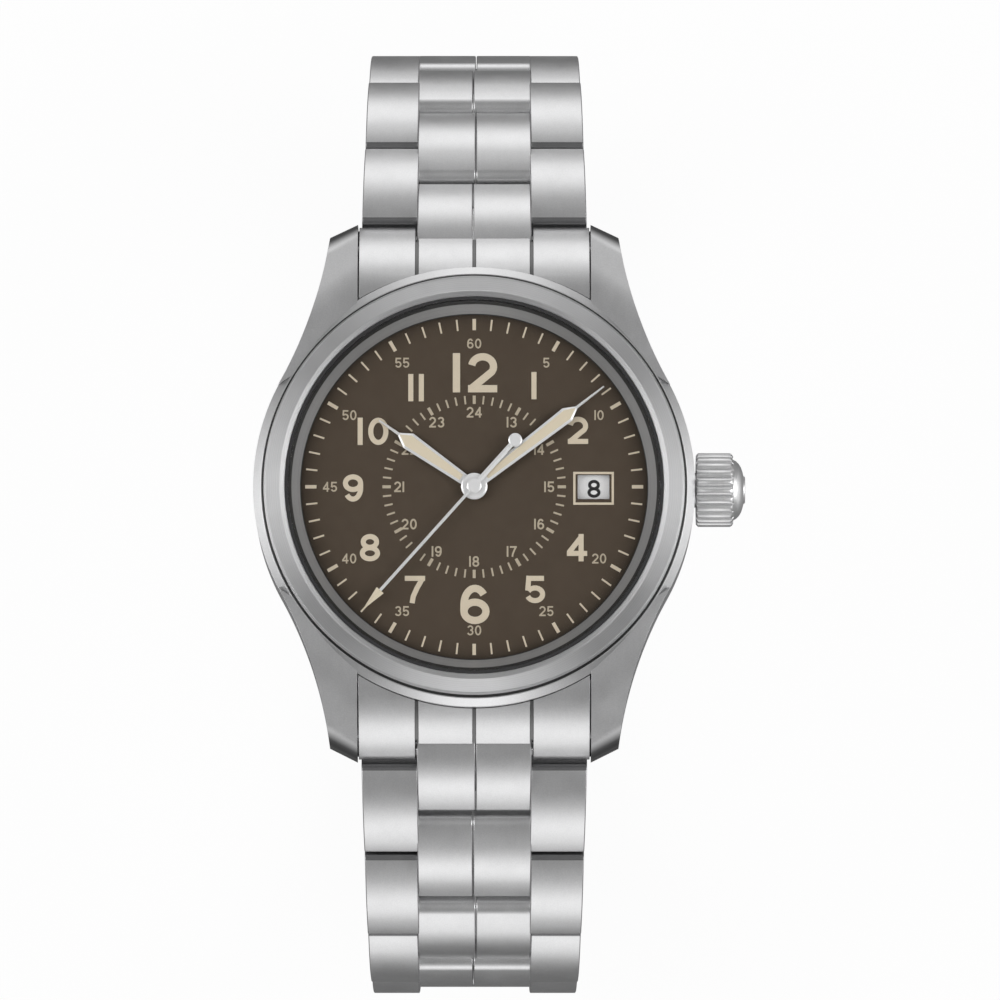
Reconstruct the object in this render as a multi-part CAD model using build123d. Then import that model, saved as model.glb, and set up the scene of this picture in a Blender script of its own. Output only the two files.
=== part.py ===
"""Field watch: a steel three-hand watch with a date, on a linked steel bracelet.

Millimetres. The origin is the middle of the case back's flat face, +Z is out of the dial,
+Y points to 12 o'clock and +X to the crown. The bracelet is closed, as on a wrist.
"""

from build123d import *

import os
from math import cos, radians, sin

# Fits and cuts
overrun = 2.0
running_gap = 0.06
fitting_gap = 0.1

# Slender pins, pipes and holes, and seals and rings out of sight, are drawn with flats
slender_sides = 12
gasket_sides = 48
ring_sides = 36

# Case: a turned barrel with four lugs
case_radius = 19.0
case_shoulder = 0.7
case_bevel = 0.65
case_lip = 0.9
case_depth = 6.4
back_thickness = 1.0
back_rim = 1.4
back_spigot = 0.5
back_gasket_width = 0.6
key_slots = 6
key_slot_length = 1.6
key_slot_width = 2.2
key_slot_depth = 0.5
strap_gap = 20.0
lug_gap_ease = 0.05
lug_length = 4.2
lug_width = 2.4
lug_corner = 1.2
lug_root_set = 2.15
lug_waist_set = 4.9
lug_waist_run = 8.3
lug_tip_drop = 4.1
lug_roll_run = 1.5
lug_roll_drop = 1.95
lug_toe_drop = 7.2
lug_toe_set = 0.8
lug_heel_run = 8.2

# Dial, glass and the rings round them
dial_thickness = 0.4
dial_hole_radius = 1.0
rehaut_slope = 1.12
rehaut_height = 1.3
bezel_width = 3.0
crystal_thickness = 1.0
gasket_width = 0.3
bezel_chamfer = 0.45
bezel_flat = 1.2
bezel_stand = 1.15
bezel_chamfer_drop = 0.25
bezel_edge_drop = 0.12
window_set = 1.64
window_length = 2.73
window_width = 2.1

# Crown, stem and tube
crown_drop = 2.7
crown_gap = 0.3
crown_radius = 3.18
crown_grip = 2.84
crown_chamfer = 0.69
crown_chamfer_radius = 2.54
crown_button = 0.5
crown_button_radius = 1.42
crown_flutes = 24
crown_flute_depth = 0.32
crown_flute_share = 0.5
crown_roof = 0.7
crown_travel = 1.0
tube_radius = 1.5
tube_bore = 0.6
tube_stand = 2.2
tube_seat = 2.4
seal_length = 0.8
seal_width = 0.3
stem_radius = 0.45
stem_seat = 6.8

# Quartz movement
holder_wall = 3.26
plate_thickness = 2.6
pocket_depth = 0.8
pocket_ease = 0.4
date_gap = 0.3
date_rim = 0.9
date_width = 3.0
date_thickness = 0.25
date_teeth = 31
date_tooth = 0.5
holder_height = 3.6
bridge_thickness = 0.5
bridge_clearance = 1.3
bridge_front = -3.3
bridge_back = 5.6
pillar_gap = 0.344
pillar_radius = 0.7
pillar_inset = 1.5
battery_gap = 0.4
battery_height = 2.1
battery_x = -2.0
battery_rim = 1.3
coil_radius = 1.1
coil_length = 7.0
coil_y = 7.6
stator_arm = 1.2
stator_wall = 0.6
rotor_radius = 0.9
rotor_height = 0.4
rotor_gap = 0.25
wheel_thickness = 0.25
pinion_length = 0.45
wheel_gap = 0.12
arbor_radius = 0.2
motion_distance = 2.9
motion_angle = 225.0
train_module = 0.16
train_angle = 120.0
rotor_angle = 165.0
cannon_teeth = 8
minute_teeth = 24
minute_pinion_teeth = 6
hour_teeth = 24
seconds_teeth = 36
intermediate_pinion_teeth = 6
intermediate_teeth = 30
rotor_teeth = 6
half_share = 0.5
addendum_share = 0.6
dedendum_share = 1.0
cannon_radius = 0.5
hour_pipe_radius = 0.8

# Hands
hour_hand_length = 10.0
hour_hand_width = 1.5
hour_hand_shoulder = 6.9
hour_hand_neck = 7.9
hour_hand_angle = 304.9
minute_hand_short = 0.78
minute_hand_width = 1.35
minute_hand_needle = 3.0
minute_hand_taper = 1.0
minute_hand_angle = 52.3
seconds_hand_short = 0.48
seconds_hand_width = 0.26
seconds_tail = 5.3
seconds_tail_width = 0.44
seconds_disc_radius = 0.59
seconds_arrow = 2.3
seconds_arrow_width = 0.8
seconds_hand_angle = 221.8
hand_thickness = 0.14
hand_spacing = 0.3
hand_hub_radius = 1.13
seconds_hub_radius = 0.64
hand_root_width = 0.85
hand_needle_width = 0.24
lume_border = 0.22

# Bracelet
bracelet_pitch = 9.1
row_slopes = [35, 42, 64, 86, 112, 138, 160]
first_pivot_set = 2.27
first_pivot_drop = 4.5
bracelet_head_width = 19.6
bracelet_clasp_width = 16.2
centre_width = 9.9
link_edge = 1.2
link_crown = 1.95
link_corner = 0.5
knuckle_chamfer = 0.6
centre_far = 7.35
outer_near = 2.75
outer_far = 11.5
link_pin_radius = 0.6
pin_seat = 0.8
split_width = 0.2
split_depth = 0.3
split_shift = 0.12
spring_bar_seat = 0.8

# End links
end_link_set = 0.13
end_link_lip_set = 1.17
end_link_root_set = 3.4
end_link_root_rise = 0.2
end_link_crest_run = 2.67
end_link_crest_drop = 1.6
end_link_tip_drop = 5.0
end_link_floor = 1.5
knuckle_ease = 0.45
end_link_groove = 0.3
end_link_groove_depth = 0.25

# Clasp
clasp_wall = 0.85
clasp_side_gap = 0.2
clasp_floor = 0.9
clasp_end_rise = 0.7
clasp_front_ramp = 11.5
clasp_back_ramp = 7.5
clasp_length_back = 2.0
clasp_pivot_height = 3.7
clasp_side = 4.3
clasp_shoulder = 4.9
clasp_shoulder_run = 4.5
cover_pivot_set = 3.6
cover_pivot_height = 2.3
cover_end_wall = 1.1
blade_pivot_set = 6.0
blade_pivot_height = 2.8
blade_side_gap = 1.1
upper_blade_floor = 1.5
upper_blade_thickness = 0.8
lower_blade_floor = 3.35
lower_blade_thickness = 0.7
blade_knuckle_radius = 0.85
blade_pin_radius = 0.45
blade_middle_half_width = 3.0
tail_run = 4.3
button_y = 3.0
button_height = 2.5
button_length = 4.0
button_width = 1.8
button_travel = 0.5
button_proud = 0.2

# Heights along +Z
dial_top = back_thickness + case_depth
case_floor = back_thickness
case_lip_top = dial_top + case_lip
crystal_floor = dial_top + rehaut_height
plate_top = dial_top - dial_thickness - date_gap - date_thickness
plate_floor = plate_top - plate_thickness
pocket_floor = plate_top - pocket_depth
crown_height = dial_top - crown_drop
hour_hand_floor = dial_top + hand_spacing
minute_hand_floor = hour_hand_floor + hand_spacing
seconds_hand_floor = minute_hand_floor + hand_spacing

# Radii and reaches that follow the case
back_radius = case_radius - back_rim
crystal_radius = case_radius - bezel_width
rehaut_foot_radius = crystal_radius - rehaut_slope
bore_radius = crystal_radius + running_gap
dial_radius = crystal_radius - running_gap
back_spigot_radius = bore_radius - back_gasket_width
bezel_bore_radius = crystal_radius + gasket_width
plate_radius = bore_radius - holder_wall
date_outer_radius = plate_radius - date_rim
date_inner_radius = date_outer_radius - date_width
window_x = date_outer_radius - window_set
battery_radius = (plate_radius - battery_rim + bridge_front - battery_gap) / 2
battery_y = battery_radius + battery_rim - plate_radius
stem_inner_x = plate_radius - stem_seat
minute_hand_length = rehaut_foot_radius - minute_hand_short
minute_hand_neck = minute_hand_length - minute_hand_needle
minute_hand_shoulder = minute_hand_neck - minute_hand_taper
seconds_hand_length = rehaut_foot_radius - seconds_hand_short
lug_reach = case_radius + lug_length
end_link_reach = lug_reach - end_link_set
end_link_lip_reach = end_link_reach - end_link_lip_set
end_link_root_y = case_radius - end_link_root_set
first_pivot_y = end_link_reach - first_pivot_set


def pivot_path():
    """The bracelet's pivots on the 12 o'clock side, from the spring bar to the clasp."""
    y, z = first_pivot_y, dial_top - first_pivot_drop
    path = [(y, z)]
    for slope in row_slopes:
        y += bracelet_pitch * cos(radians(slope))
        z -= bracelet_pitch * sin(radians(slope))
        path.append((y, z))
    return path


pivots = pivot_path()
clasp_pivot_y, clasp_pivot_z = pivots[-1]
clasp_face = clasp_pivot_z - clasp_pivot_height
cover_pivot_y = cover_pivot_set - clasp_pivot_y
blade_pivot_y = clasp_pivot_y - blade_pivot_set
clasp_flat_front = clasp_front_ramp - clasp_pivot_y
clasp_flat_back = clasp_pivot_y - clasp_back_ramp


def turned(*profile):
    """A solid turned about the watch's own axis from (radius, height) points."""
    return revolve(Plane.XZ * make_face(Polyline(*profile, close=True)), Axis.Z)


def disc(radius, floor, top, x=0, y=0):
    """An upright cylinder between two heights."""
    return Pos(x, y, floor) * extrude(Circle(radius), top - floor)


def arbor(radius, floor, top, x=0, y=0):
    """A slender upright shaft, or the cut for one."""
    return Pos(x, y, floor) * extrude(RegularPolygon(radius, slender_sides), top - floor)


def along_x(face, left, right, y, z):
    """A face, drawn round its own centre, given its length along X."""
    plane = Plane(origin=(left, y, z), x_dir=(0, 1, 0), z_dir=(1, 0, 0))
    return plane * extrude(face, right - left)


def bar_x(radius, left, right, y, z):
    """A slender pin along X, or the cut for one."""
    return along_x(RegularPolygon(radius, slender_sides), left, right, y, z)


def block(low, high):
    """A box between two corners."""
    size = [b - a for a, b in zip(low, high)]
    middle = [(a + b) / 2 for a, b in zip(low, high)]
    return Pos(*middle) * Box(*size)


def side_prism(face, left, right):
    """A side view, drawn as (Y, Z), given its width along X."""
    return Pos(left, 0, 0) * extrude(Plane.YZ * face, right - left)


# Case


def lug_plan():
    """One lug seen from above, on the 12 o'clock side by the crown."""
    inner = strap_gap / 2 + lug_gap_ease
    tip_x = inner + lug_width
    root_x = case_radius - lug_root_set
    root_y = (case_radius**2 - root_x**2) ** 0.5
    waist = (case_radius - lug_waist_set, lug_reach - lug_waist_run)
    outline = [
        Line((inner, root_y), (inner, lug_reach)),
        Line((inner, lug_reach), (tip_x, lug_reach - lug_corner)),
        ThreePointArc((tip_x, lug_reach - lug_corner), waist, (root_x, root_y)),
        Line((root_x, root_y), (inner, root_y)),
    ]
    return make_face(outline)


def lug_side():
    """The lug seen from the crown: it slopes down from the shoulder and rolls over its tip."""
    top = case_lip_top
    toe = dial_top - lug_toe_drop
    heel = lug_reach - lug_heel_run
    roll = (lug_reach - lug_roll_run, dial_top - lug_roll_drop)
    tip = (lug_reach, dial_top - lug_tip_drop)
    fall = (roll[0] - heel, roll[1] - top)
    outline = [
        Polyline((0, case_floor), (0, top), (heel, top), roll),
        TangentArc(roll, tip, tangent=fall),
        Polyline(
            tip,
            (lug_reach, toe + lug_toe_set),
            (lug_reach - lug_toe_set, toe),
            (heel, case_floor),
            (0, case_floor),
        ),
    ]
    return make_face(outline)


def case():
    shoulder = case_radius - case_bevel
    body = turned(
        (0, case_floor),
        (case_radius, case_floor),
        (case_radius, case_lip_top - case_bevel),
        (shoulder, case_lip_top),
        (0, case_lip_top),
    )
    lug = extrude(lug_plan(), case_lip_top) & side_prism(lug_side(), 0, case_radius)
    body += lug + mirror(lug, Plane.YZ)
    other = mirror(lug, Plane.XZ)
    body += other + mirror(other, Plane.YZ)
    body -= disc(bore_radius, case_floor - overrun, case_lip_top + overrun)
    body -= along_x(Circle(tube_radius), 0, case_radius + overrun, 0, crown_height)
    seat = strap_gap / 2 + lug_gap_ease + spring_bar_seat
    pivot_y, pivot_z = pivots[0]
    for side in (1, -1):
        body -= bar_x(link_pin_radius, -seat, seat, side * pivot_y, pivot_z)
    return body


def case_back():
    """A screw-down back with six key slots round its edge."""
    back = turned(
        (0, 0),
        (back_radius, 0),
        (back_radius, back_thickness),
        (back_spigot_radius, back_thickness),
        (back_spigot_radius, back_thickness + back_spigot),
        (0, back_thickness + back_spigot),
    )
    slot = block(
        (back_radius - key_slot_length, -key_slot_width / 2, -overrun),
        (back_radius + overrun, key_slot_width / 2, key_slot_depth),
    )
    for place in range(key_slots):
        back -= Rot(0, 0, place * 360 / key_slots) * slot
    return back


def back_gasket():
    """A flat seal round the back's spigot, drawn with flats because it is out of sight."""
    outer = RegularPolygon(bore_radius, ring_sides)
    inner = RegularPolygon(back_spigot_radius, ring_sides, major_radius=False)
    return Pos(0, 0, back_thickness) * extrude(outer - inner, back_spigot)


# Bezel, glass and dial


def bezel():
    outer = case_radius - case_shoulder
    bore = bezel_bore_radius
    top = case_lip_top + bezel_stand
    flat = bore + bezel_chamfer
    edge = flat + bezel_flat
    return turned(
        (bore, case_lip_top),
        (outer, case_lip_top),
        (edge, top - bezel_edge_drop),
        (flat, top),
        (bore, top - bezel_chamfer_drop),
    )


def crystal_gasket():
    """The seal round the glass, drawn with flats that touch the glass and reach the bezel."""
    outer = RegularPolygon(bezel_bore_radius, gasket_sides)
    inner = RegularPolygon(crystal_radius, gasket_sides, major_radius=False)
    top = case_lip_top + bezel_stand - bezel_chamfer_drop - running_gap
    return Pos(0, 0, crystal_floor) * extrude(outer - inner, top - crystal_floor)


def crystal():
    return disc(crystal_radius, crystal_floor, crystal_floor + crystal_thickness)


def rehaut():
    """The sloping ring between the dial and the glass."""
    return turned(
        (rehaut_foot_radius, dial_top),
        (crystal_radius, dial_top),
        (crystal_radius, crystal_floor),
    )


def dial():
    plate = disc(dial_radius, dial_top - dial_thickness, dial_top)
    low = dial_top - dial_thickness - overrun
    plate -= disc(dial_hole_radius, low, dial_top + overrun)
    plate -= block(
        (window_x - window_length / 2, -window_width / 2, low),
        (window_x + window_length / 2, window_width / 2, dial_top + overrun),
    )
    return plate


def date_disc():
    """The date ring turns under the window and has one inner tooth a day."""
    floor = plate_top
    points = []
    for tooth in range(date_teeth):
        for turn, radius in ((0, date_inner_radius), (half_share, date_inner_radius + date_tooth)):
            angle = radians((tooth + turn) * 360 / date_teeth)
            points.append((radius * cos(angle), radius * sin(angle)))
    inner = make_face(Polyline(*points, close=True))
    outer = RegularPolygon(date_outer_radius, 2 * date_teeth)
    return Pos(0, 0, floor) * extrude(outer - inner, date_thickness)


# Movement


def gear(teeth, module, floor, top, angle, x=0, y=0):
    """A small clock gear with pointed teeth, one of them at the stated angle."""
    pitch_radius = module * teeth / 2
    tip = pitch_radius + module * addendum_share
    root = pitch_radius - module * dedendum_share
    points = []
    for tooth in range(teeth):
        for turn, radius in ((0, tip), (half_share, root)):
            turned_by = radians(angle + (tooth + turn) * 360 / teeth)
            points.append((radius * cos(turned_by), radius * sin(turned_by)))
    face = make_face(Polyline(*points, close=True))
    return Pos(x, y, floor) * extrude(face, top - floor)


def polar(distance, angle, start=(0, 0)):
    turn = radians(angle)
    return start[0] + distance * cos(turn), start[1] + distance * sin(turn)


motion_module = 2 * motion_distance / (cannon_teeth + minute_teeth)
hour_module = 2 * motion_distance / (minute_pinion_teeth + hour_teeth)
minute_wheel_place = polar(motion_distance, motion_angle)
first_distance = train_module * (seconds_teeth + intermediate_pinion_teeth) / 2
second_distance = train_module * (intermediate_teeth + rotor_teeth) / 2
intermediate_place = polar(first_distance, train_angle)
rotor_place = polar(second_distance, rotor_angle, intermediate_place)

seconds_tip = train_module * (seconds_teeth / 2 + addendum_share)
pillar_spread = seconds_tip + pillar_radius + pillar_gap - intermediate_place[0]
bridge_length = 2 * (pillar_spread + pillar_inset)

minute_wheel_floor = pocket_floor + wheel_gap
minute_wheel_top = minute_wheel_floor + wheel_thickness
hour_wheel_floor = minute_wheel_top + wheel_gap
hour_wheel_top = hour_wheel_floor + wheel_thickness
train_ceiling = plate_floor - wheel_gap
intermediate_pinion_floor = train_ceiling - pinion_length
intermediate_wheel_floor = intermediate_pinion_floor - wheel_thickness


def main_plate():
    plate = disc(plate_radius, plate_floor, plate_top)
    x, y = minute_wheel_place
    wheel_reach = motion_module * minute_teeth / 2 + pocket_ease
    hub_reach = hour_module * hour_teeth / 2 + pocket_ease
    plate -= block(
        (x - wheel_reach, y - wheel_reach, pocket_floor),
        (hub_reach, hub_reach, plate_top + overrun),
    )
    plate -= arbor(cannon_radius + running_gap, plate_floor - overrun, plate_top)
    hole = stem_radius + running_gap
    plate -= bar_x(hole, stem_inner_x, plate_radius + overrun, 0, crown_height)
    return plate + arbor(arbor_radius, pocket_floor, hour_wheel_top, x, y)


def movement_holder():
    """The plastic ring that centres the movement in the case."""
    outer = RegularPolygon(bore_radius - running_gap, ring_sides)
    inner = RegularPolygon(plate_radius + running_gap, ring_sides, major_radius=False)
    top = dial_top - dial_thickness
    holder = Pos(0, 0, top - holder_height) * extrude(outer - inner, holder_height)
    holder -= bar_x(tube_bore, plate_radius, bore_radius + overrun, 0, crown_height)
    return holder


def train_bridge():
    """A bridge under the wheels, on two pillars that stand off the main plate."""
    ceiling = plate_floor - bridge_clearance
    left = intermediate_place[0] - bridge_length / 2
    right = left + bridge_length
    bridge = block(
        (left, bridge_front, ceiling - bridge_thickness), (right, bridge_back, ceiling)
    )
    for x in (left + pillar_inset, right - pillar_inset):
        bridge += arbor(pillar_radius, ceiling - bridge_thickness / 2, plate_floor, x)
    return bridge


def battery():
    low = plate_floor - battery_height
    return disc(battery_radius, low, plate_floor, battery_x, battery_y)


def coil():
    left = rotor_place[0] - coil_length / 2
    return bar_x(coil_radius, left, left + coil_length, coil_y, plate_floor - coil_radius)


def stator():
    """Soft iron: a ring round the rotor and a yoke with two arms to the coil's ends."""
    x, y = rotor_place
    top = train_ceiling
    low = top - rotor_height
    hole = rotor_radius + rotor_gap
    side = hole + stator_wall
    reach = coil_length / 2 + stator_arm
    yoke_back = y + side
    plate = block((x - side, y - side, low), (x + side, yoke_back, top))
    plate += block((x - reach, yoke_back - stator_arm, low), (x + reach, yoke_back, top))
    arm_back = coil_y + stator_arm / 2
    for end in (x - reach, x + reach - stator_arm):
        plate += block((end, yoke_back - stator_arm, low), (end + stator_arm, arm_back, top))
    return plate - arbor(hole, low - overrun, top + overrun, x, y)


def rotor():
    """The magnet that steps once a second, with its pinion."""
    floor = intermediate_wheel_floor
    angle = rotor_angle + 180 + 180 / rotor_teeth
    x, y = rotor_place
    shaft = gear(rotor_teeth, train_module, floor, train_ceiling, angle, x, y)
    return shaft + arbor(rotor_radius, train_ceiling - rotor_height, train_ceiling, x, y)


def intermediate_wheel():
    x, y = intermediate_place
    low, middle, top = intermediate_wheel_floor, intermediate_pinion_floor, train_ceiling
    wheel = gear(intermediate_teeth, train_module, low, middle, rotor_angle, x, y)
    angle = train_angle + 180 + 180 / intermediate_pinion_teeth
    return wheel + gear(intermediate_pinion_teeth, train_module, middle, top, angle, x, y)


def seconds_wheel():
    """The seconds wheel's long arbor runs up through the cannon pinion to its hand."""
    floor = intermediate_pinion_floor + wheel_gap
    wheel = gear(seconds_teeth, train_module, floor, floor + wheel_thickness, train_angle)
    return wheel + arbor(arbor_radius, floor, seconds_hand_floor)


def cannon_pinion():
    """The minute hand's pipe, with the pinion that drives the motion work."""
    pinion = gear(cannon_teeth, motion_module, minute_wheel_floor, minute_wheel_top, motion_angle)
    pinion += arbor(cannon_radius, plate_floor, minute_hand_floor)
    bore = arbor_radius + running_gap
    return pinion - arbor(bore, plate_floor - overrun, minute_hand_floor + overrun)


def minute_wheel():
    x, y = minute_wheel_place
    angle = motion_angle + 180 + 180 / minute_teeth
    wheel = gear(minute_teeth, motion_module, minute_wheel_floor, minute_wheel_top, angle, x, y)
    angle = motion_angle + 180
    pinion = gear(minute_pinion_teeth, hour_module, minute_wheel_top, hour_wheel_top, angle, x, y)
    return wheel + pinion - arbor(arbor_radius + running_gap, pocket_floor, dial_top, x, y)


def hour_wheel():
    angle = motion_angle + 180 / hour_teeth
    wheel = gear(hour_teeth, hour_module, hour_wheel_floor, hour_wheel_top, angle)
    wheel += arbor(hour_pipe_radius, hour_wheel_floor, hour_hand_floor)
    return wheel - arbor(cannon_radius + running_gap, pocket_floor, hour_hand_floor + overrun)


# Hands


def hand_face(root, width, needle, shoulder, neck, length):
    """A long leaf that widens to its shoulder and ends in a needle, pointing along +Y."""
    outline = [
        (-root / 2, 0),
        (-width / 2, shoulder),
        (-needle / 2, neck),
        (0, length),
        (needle / 2, neck),
        (width / 2, shoulder),
        (root / 2, 0),
    ]
    return make_face(Polyline(*outline, close=True))


def leaf_hand(width, shoulder, neck, length, pipe_radius, floor, angle):
    """A frame with its hub and the luminous inset that fills it, at a clock angle."""
    face = hand_face(hand_root_width, width, hand_needle_width, shoulder, neck, length)
    face += Circle(hand_hub_radius)
    start = hand_hub_radius + lume_border
    slope = (width - hand_root_width) / shoulder
    near = hand_root_width + slope * start - 2 * lume_border
    window = make_face(
        Polyline(
            (-near / 2, start),
            (-width / 2 + lume_border, shoulder),
            (0, neck - lume_border),
            (width / 2 - lume_border, shoulder),
            (near / 2, start),
            close=True,
        )
    )
    eye = RegularPolygon(pipe_radius, slender_sides)
    frame = extrude(face - window - eye, hand_thickness)
    inset = extrude(window, hand_thickness)
    place = Pos(0, 0, floor) * Rot(0, 0, -angle)
    return Compound(children=[place * frame, place * inset])


def hour_hand():
    return leaf_hand(
        hour_hand_width,
        hour_hand_shoulder,
        hour_hand_neck,
        hour_hand_length,
        cannon_radius + running_gap,
        hour_hand_floor,
        hour_hand_angle,
    )


def minute_hand():
    return leaf_hand(
        minute_hand_width,
        minute_hand_shoulder,
        minute_hand_neck,
        minute_hand_length,
        arbor_radius + running_gap,
        minute_hand_floor,
        minute_hand_angle,
    )


def seconds_hand():
    """A thin rod with a disc on its tail and a painted arrowhead."""
    arrow_start = seconds_hand_length - seconds_arrow
    rod = Pos(0, arrow_start / 2) * Rectangle(seconds_hand_width, arrow_start)
    tail = Pos(0, -seconds_tail / 2) * Rectangle(seconds_tail_width, seconds_tail)
    weight = Pos(0, -seconds_tail) * Circle(seconds_disc_radius)
    arrow = make_face(
        Polyline(
            (-seconds_arrow_width / 2, arrow_start),
            (0, seconds_hand_length),
            (seconds_arrow_width / 2, arrow_start),
            close=True,
        )
    )
    body = extrude(rod + tail + weight + Circle(seconds_hub_radius), hand_thickness)
    head = extrude(arrow, hand_thickness)
    place = Pos(0, 0, seconds_hand_floor) * Rot(0, 0, -seconds_hand_angle)
    return Compound(children=[place * body, place * head])


# Crown


def on_crown_axis(shape, x):
    """Stands a piece drawn on +Z out along +X from the crown's axis."""
    return Plane(origin=(x, 0, crown_height), x_dir=(0, 1, 0), z_dir=(1, 0, 0)) * shape


def crown():
    points = []
    step = 360 / crown_flutes
    for flute in range(crown_flutes):
        for turn, radius in (
            (0, crown_radius),
            (crown_flute_share, crown_radius),
            ((1 + crown_flute_share) / 2, crown_radius - crown_flute_depth),
        ):
            angle = radians((flute + turn) * step)
            points.append((radius * cos(angle), radius * sin(angle)))
    grip = extrude(make_face(Polyline(*points, close=True)), crown_grip)
    cone = revolve(
        Plane.XZ
        * make_face(
            Polyline(
                (0, crown_grip),
                (crown_radius - crown_flute_depth, crown_grip),
                (crown_chamfer_radius, crown_grip + crown_chamfer),
                (0, crown_grip + crown_chamfer),
                close=True,
            )
        ),
        Axis.Z,
    )
    end = crown_grip + crown_chamfer
    button = Pos(0, 0, end) * extrude(Circle(crown_button_radius), crown_button)
    body = grip + cone + button
    body -= extrude(Circle(tube_radius + seal_width), crown_grip - crown_roof)
    return on_crown_axis(body, case_radius + crown_gap)


def crown_seal():
    """It sits near the crown's mouth and stays on the tube when the crown is out."""
    start = case_radius + tube_stand - crown_travel - seal_length
    face = Circle(tube_radius + seal_width) - Circle(tube_radius + running_gap)
    return on_crown_axis(extrude(face, seal_length), start)


def crown_tube():
    face = Circle(tube_radius) - RegularPolygon(tube_bore, slender_sides)
    return on_crown_axis(extrude(face, tube_seat + tube_stand), case_radius - tube_seat)


def stem():
    end = case_radius + crown_gap + crown_grip - crown_roof
    return bar_x(stem_radius, stem_inner_x + wheel_gap, end, 0, crown_height)


# Bracelet


def centre_side():
    """The centre link seen from the side: a round knuckle, a crowned top and a square end."""
    middle = centre_far / 2
    outline = [
        RadiusArc((-link_edge, 0), (0, link_edge), link_edge),
        ThreePointArc((0, link_edge), (middle, link_crown), (centre_far - link_corner, link_edge)),
        Polyline(
            (centre_far - link_corner, link_edge),
            (centre_far, link_edge - link_corner),
            (centre_far, -link_edge),
            (knuckle_chamfer - link_edge, -link_edge),
            (-link_edge, knuckle_chamfer - link_edge),
            (-link_edge, 0),
        ),
    ]
    return make_face(outline)


def outer_side():
    """An outer link seen from the side, crowned and with its ends eased."""
    near, far = outer_near, outer_far
    outline = [
        Polyline(
            (near + link_corner, link_edge),
            (near, link_edge - link_corner),
            (near, link_corner - link_edge),
            (near + link_corner, -link_edge),
            (far - link_corner, -link_edge),
            (far, link_corner - link_edge),
            (far, link_edge - link_corner),
            (far - link_corner, link_edge),
        ),
        ThreePointArc(
            (far - link_corner, link_edge),
            ((near + far) / 2, link_crown),
            (near + link_corner, link_edge),
        ),
    ]
    return make_face(outline)


def half_width_at(run):
    """Half the bracelet's width at a distance along it from the spring bar."""
    whole = bracelet_pitch * (len(row_slopes) - 1) + outer_far
    share = run / whole
    return (bracelet_head_width + (bracelet_clasp_width - bracelet_head_width) * share) / 2


def link_row(row):
    """One row: the centre link and two outer links in one piece, with its pin across the fork."""
    last = row == len(row_slopes) - 1
    start = row * bracelet_pitch
    inner = centre_width / 2
    wide = half_width_at(start + outer_near)
    narrow = half_width_at(start + outer_far)
    body = side_prism(centre_side(), -inner, inner)
    knuckle_trim = block((0, -overrun, -overrun), (fitting_gap, outer_near - fitting_gap, overrun))
    body -= Pos(inner - fitting_gap, 0, 0) * knuckle_trim
    body -= Pos(-inner, 0, 0) * knuckle_trim
    shift = split_shift if row % 2 else -split_shift
    body -= block(
        (shift - split_width / 2, -overrun, link_edge - split_depth),
        (shift + split_width / 2, centre_far + overrun, link_crown + overrun),
    )
    corners = (inner, outer_near), (wide, outer_near), (narrow, outer_far), (inner, outer_far)
    plan = make_face(Polyline(*corners, close=True))
    outer = side_prism(outer_side(), inner, wide)
    outer &= Pos(0, 0, -overrun) * extrude(plan, 2 * overrun)
    body += outer + mirror(outer, Plane.YZ)
    body -= bar_x(link_pin_radius + running_gap, -wide, wide, 0, 0)
    if last:
        body -= bar_x(link_pin_radius + running_gap, -wide, wide, bracelet_pitch, 0)
        return body
    reach = inner + pin_seat
    return body + bar_x(link_pin_radius, -reach, reach, bracelet_pitch, 0)


def placed_row(row, side):
    y, z = pivots[row]
    turn = 0 if side > 0 else 180
    return Rot(0, 0, turn) * Pos(0, y, z) * Rot(-row_slopes[row], 0, 0) * link_row(row)


def end_link(side):
    """The end link fills the space between the lugs, grooved to look like a row of links."""
    half = strap_gap / 2 - running_gap
    inner = centre_width / 2
    pivot_y, pivot_z = pivots[0]
    floor = pivot_z - end_link_floor
    root_top = dial_top + end_link_root_rise
    crest = ThreePointArc(
        (end_link_root_y, root_top),
        (end_link_reach - end_link_crest_run, dial_top - end_link_crest_drop),
        (end_link_reach, dial_top - end_link_tip_drop),
    )
    outline = [
        crest,
        Polyline(
            (end_link_reach, dial_top - end_link_tip_drop),
            (end_link_reach, floor + link_corner),
            (end_link_reach - link_corner, floor),
            (end_link_root_y, floor),
            (end_link_root_y, root_top),
        ),
    ]
    profile = make_face(outline)
    link = side_prism(profile, -half, half)
    groove = side_prism(profile, -end_link_groove / 2, end_link_groove / 2)
    groove -= Pos(0, 0, -end_link_groove_depth) * groove
    for x in (-inner, 0, inner):
        link -= Pos(x, 0, 0) * groove
    link -= disc(case_radius + running_gap, case_floor - overrun, case_lip_top + overrun)
    knuckle = link_edge + knuckle_ease
    lip_floor = pivot_z + knuckle
    slot = inner + fitting_gap
    link -= along_x(Circle(knuckle), -slot, slot, pivot_y, pivot_z)
    back, front, low = case_radius - overrun, end_link_reach + overrun, floor - overrun
    link -= block((-slot, back, low), (slot, front, pivot_z))
    link -= block((-slot, end_link_lip_reach, low), (slot, front, dial_top))
    link -= block((-slot, back, low), (slot, pivot_y, lip_floor))
    link -= bar_x(link_pin_radius + running_gap, -half - overrun, half + overrun, pivot_y, pivot_z)
    return link if side > 0 else Rot(0, 0, 180) * link


def spring_bars():
    seat = strap_gap / 2 + lug_gap_ease + spring_bar_seat
    y, z = pivots[0]
    bars = [bar_x(link_pin_radius, -seat, seat, side * y, z) for side in (1, -1)]
    return Compound(children=bars)


# Clasp: a folding clasp with three leaves and a push button on each side

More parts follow.
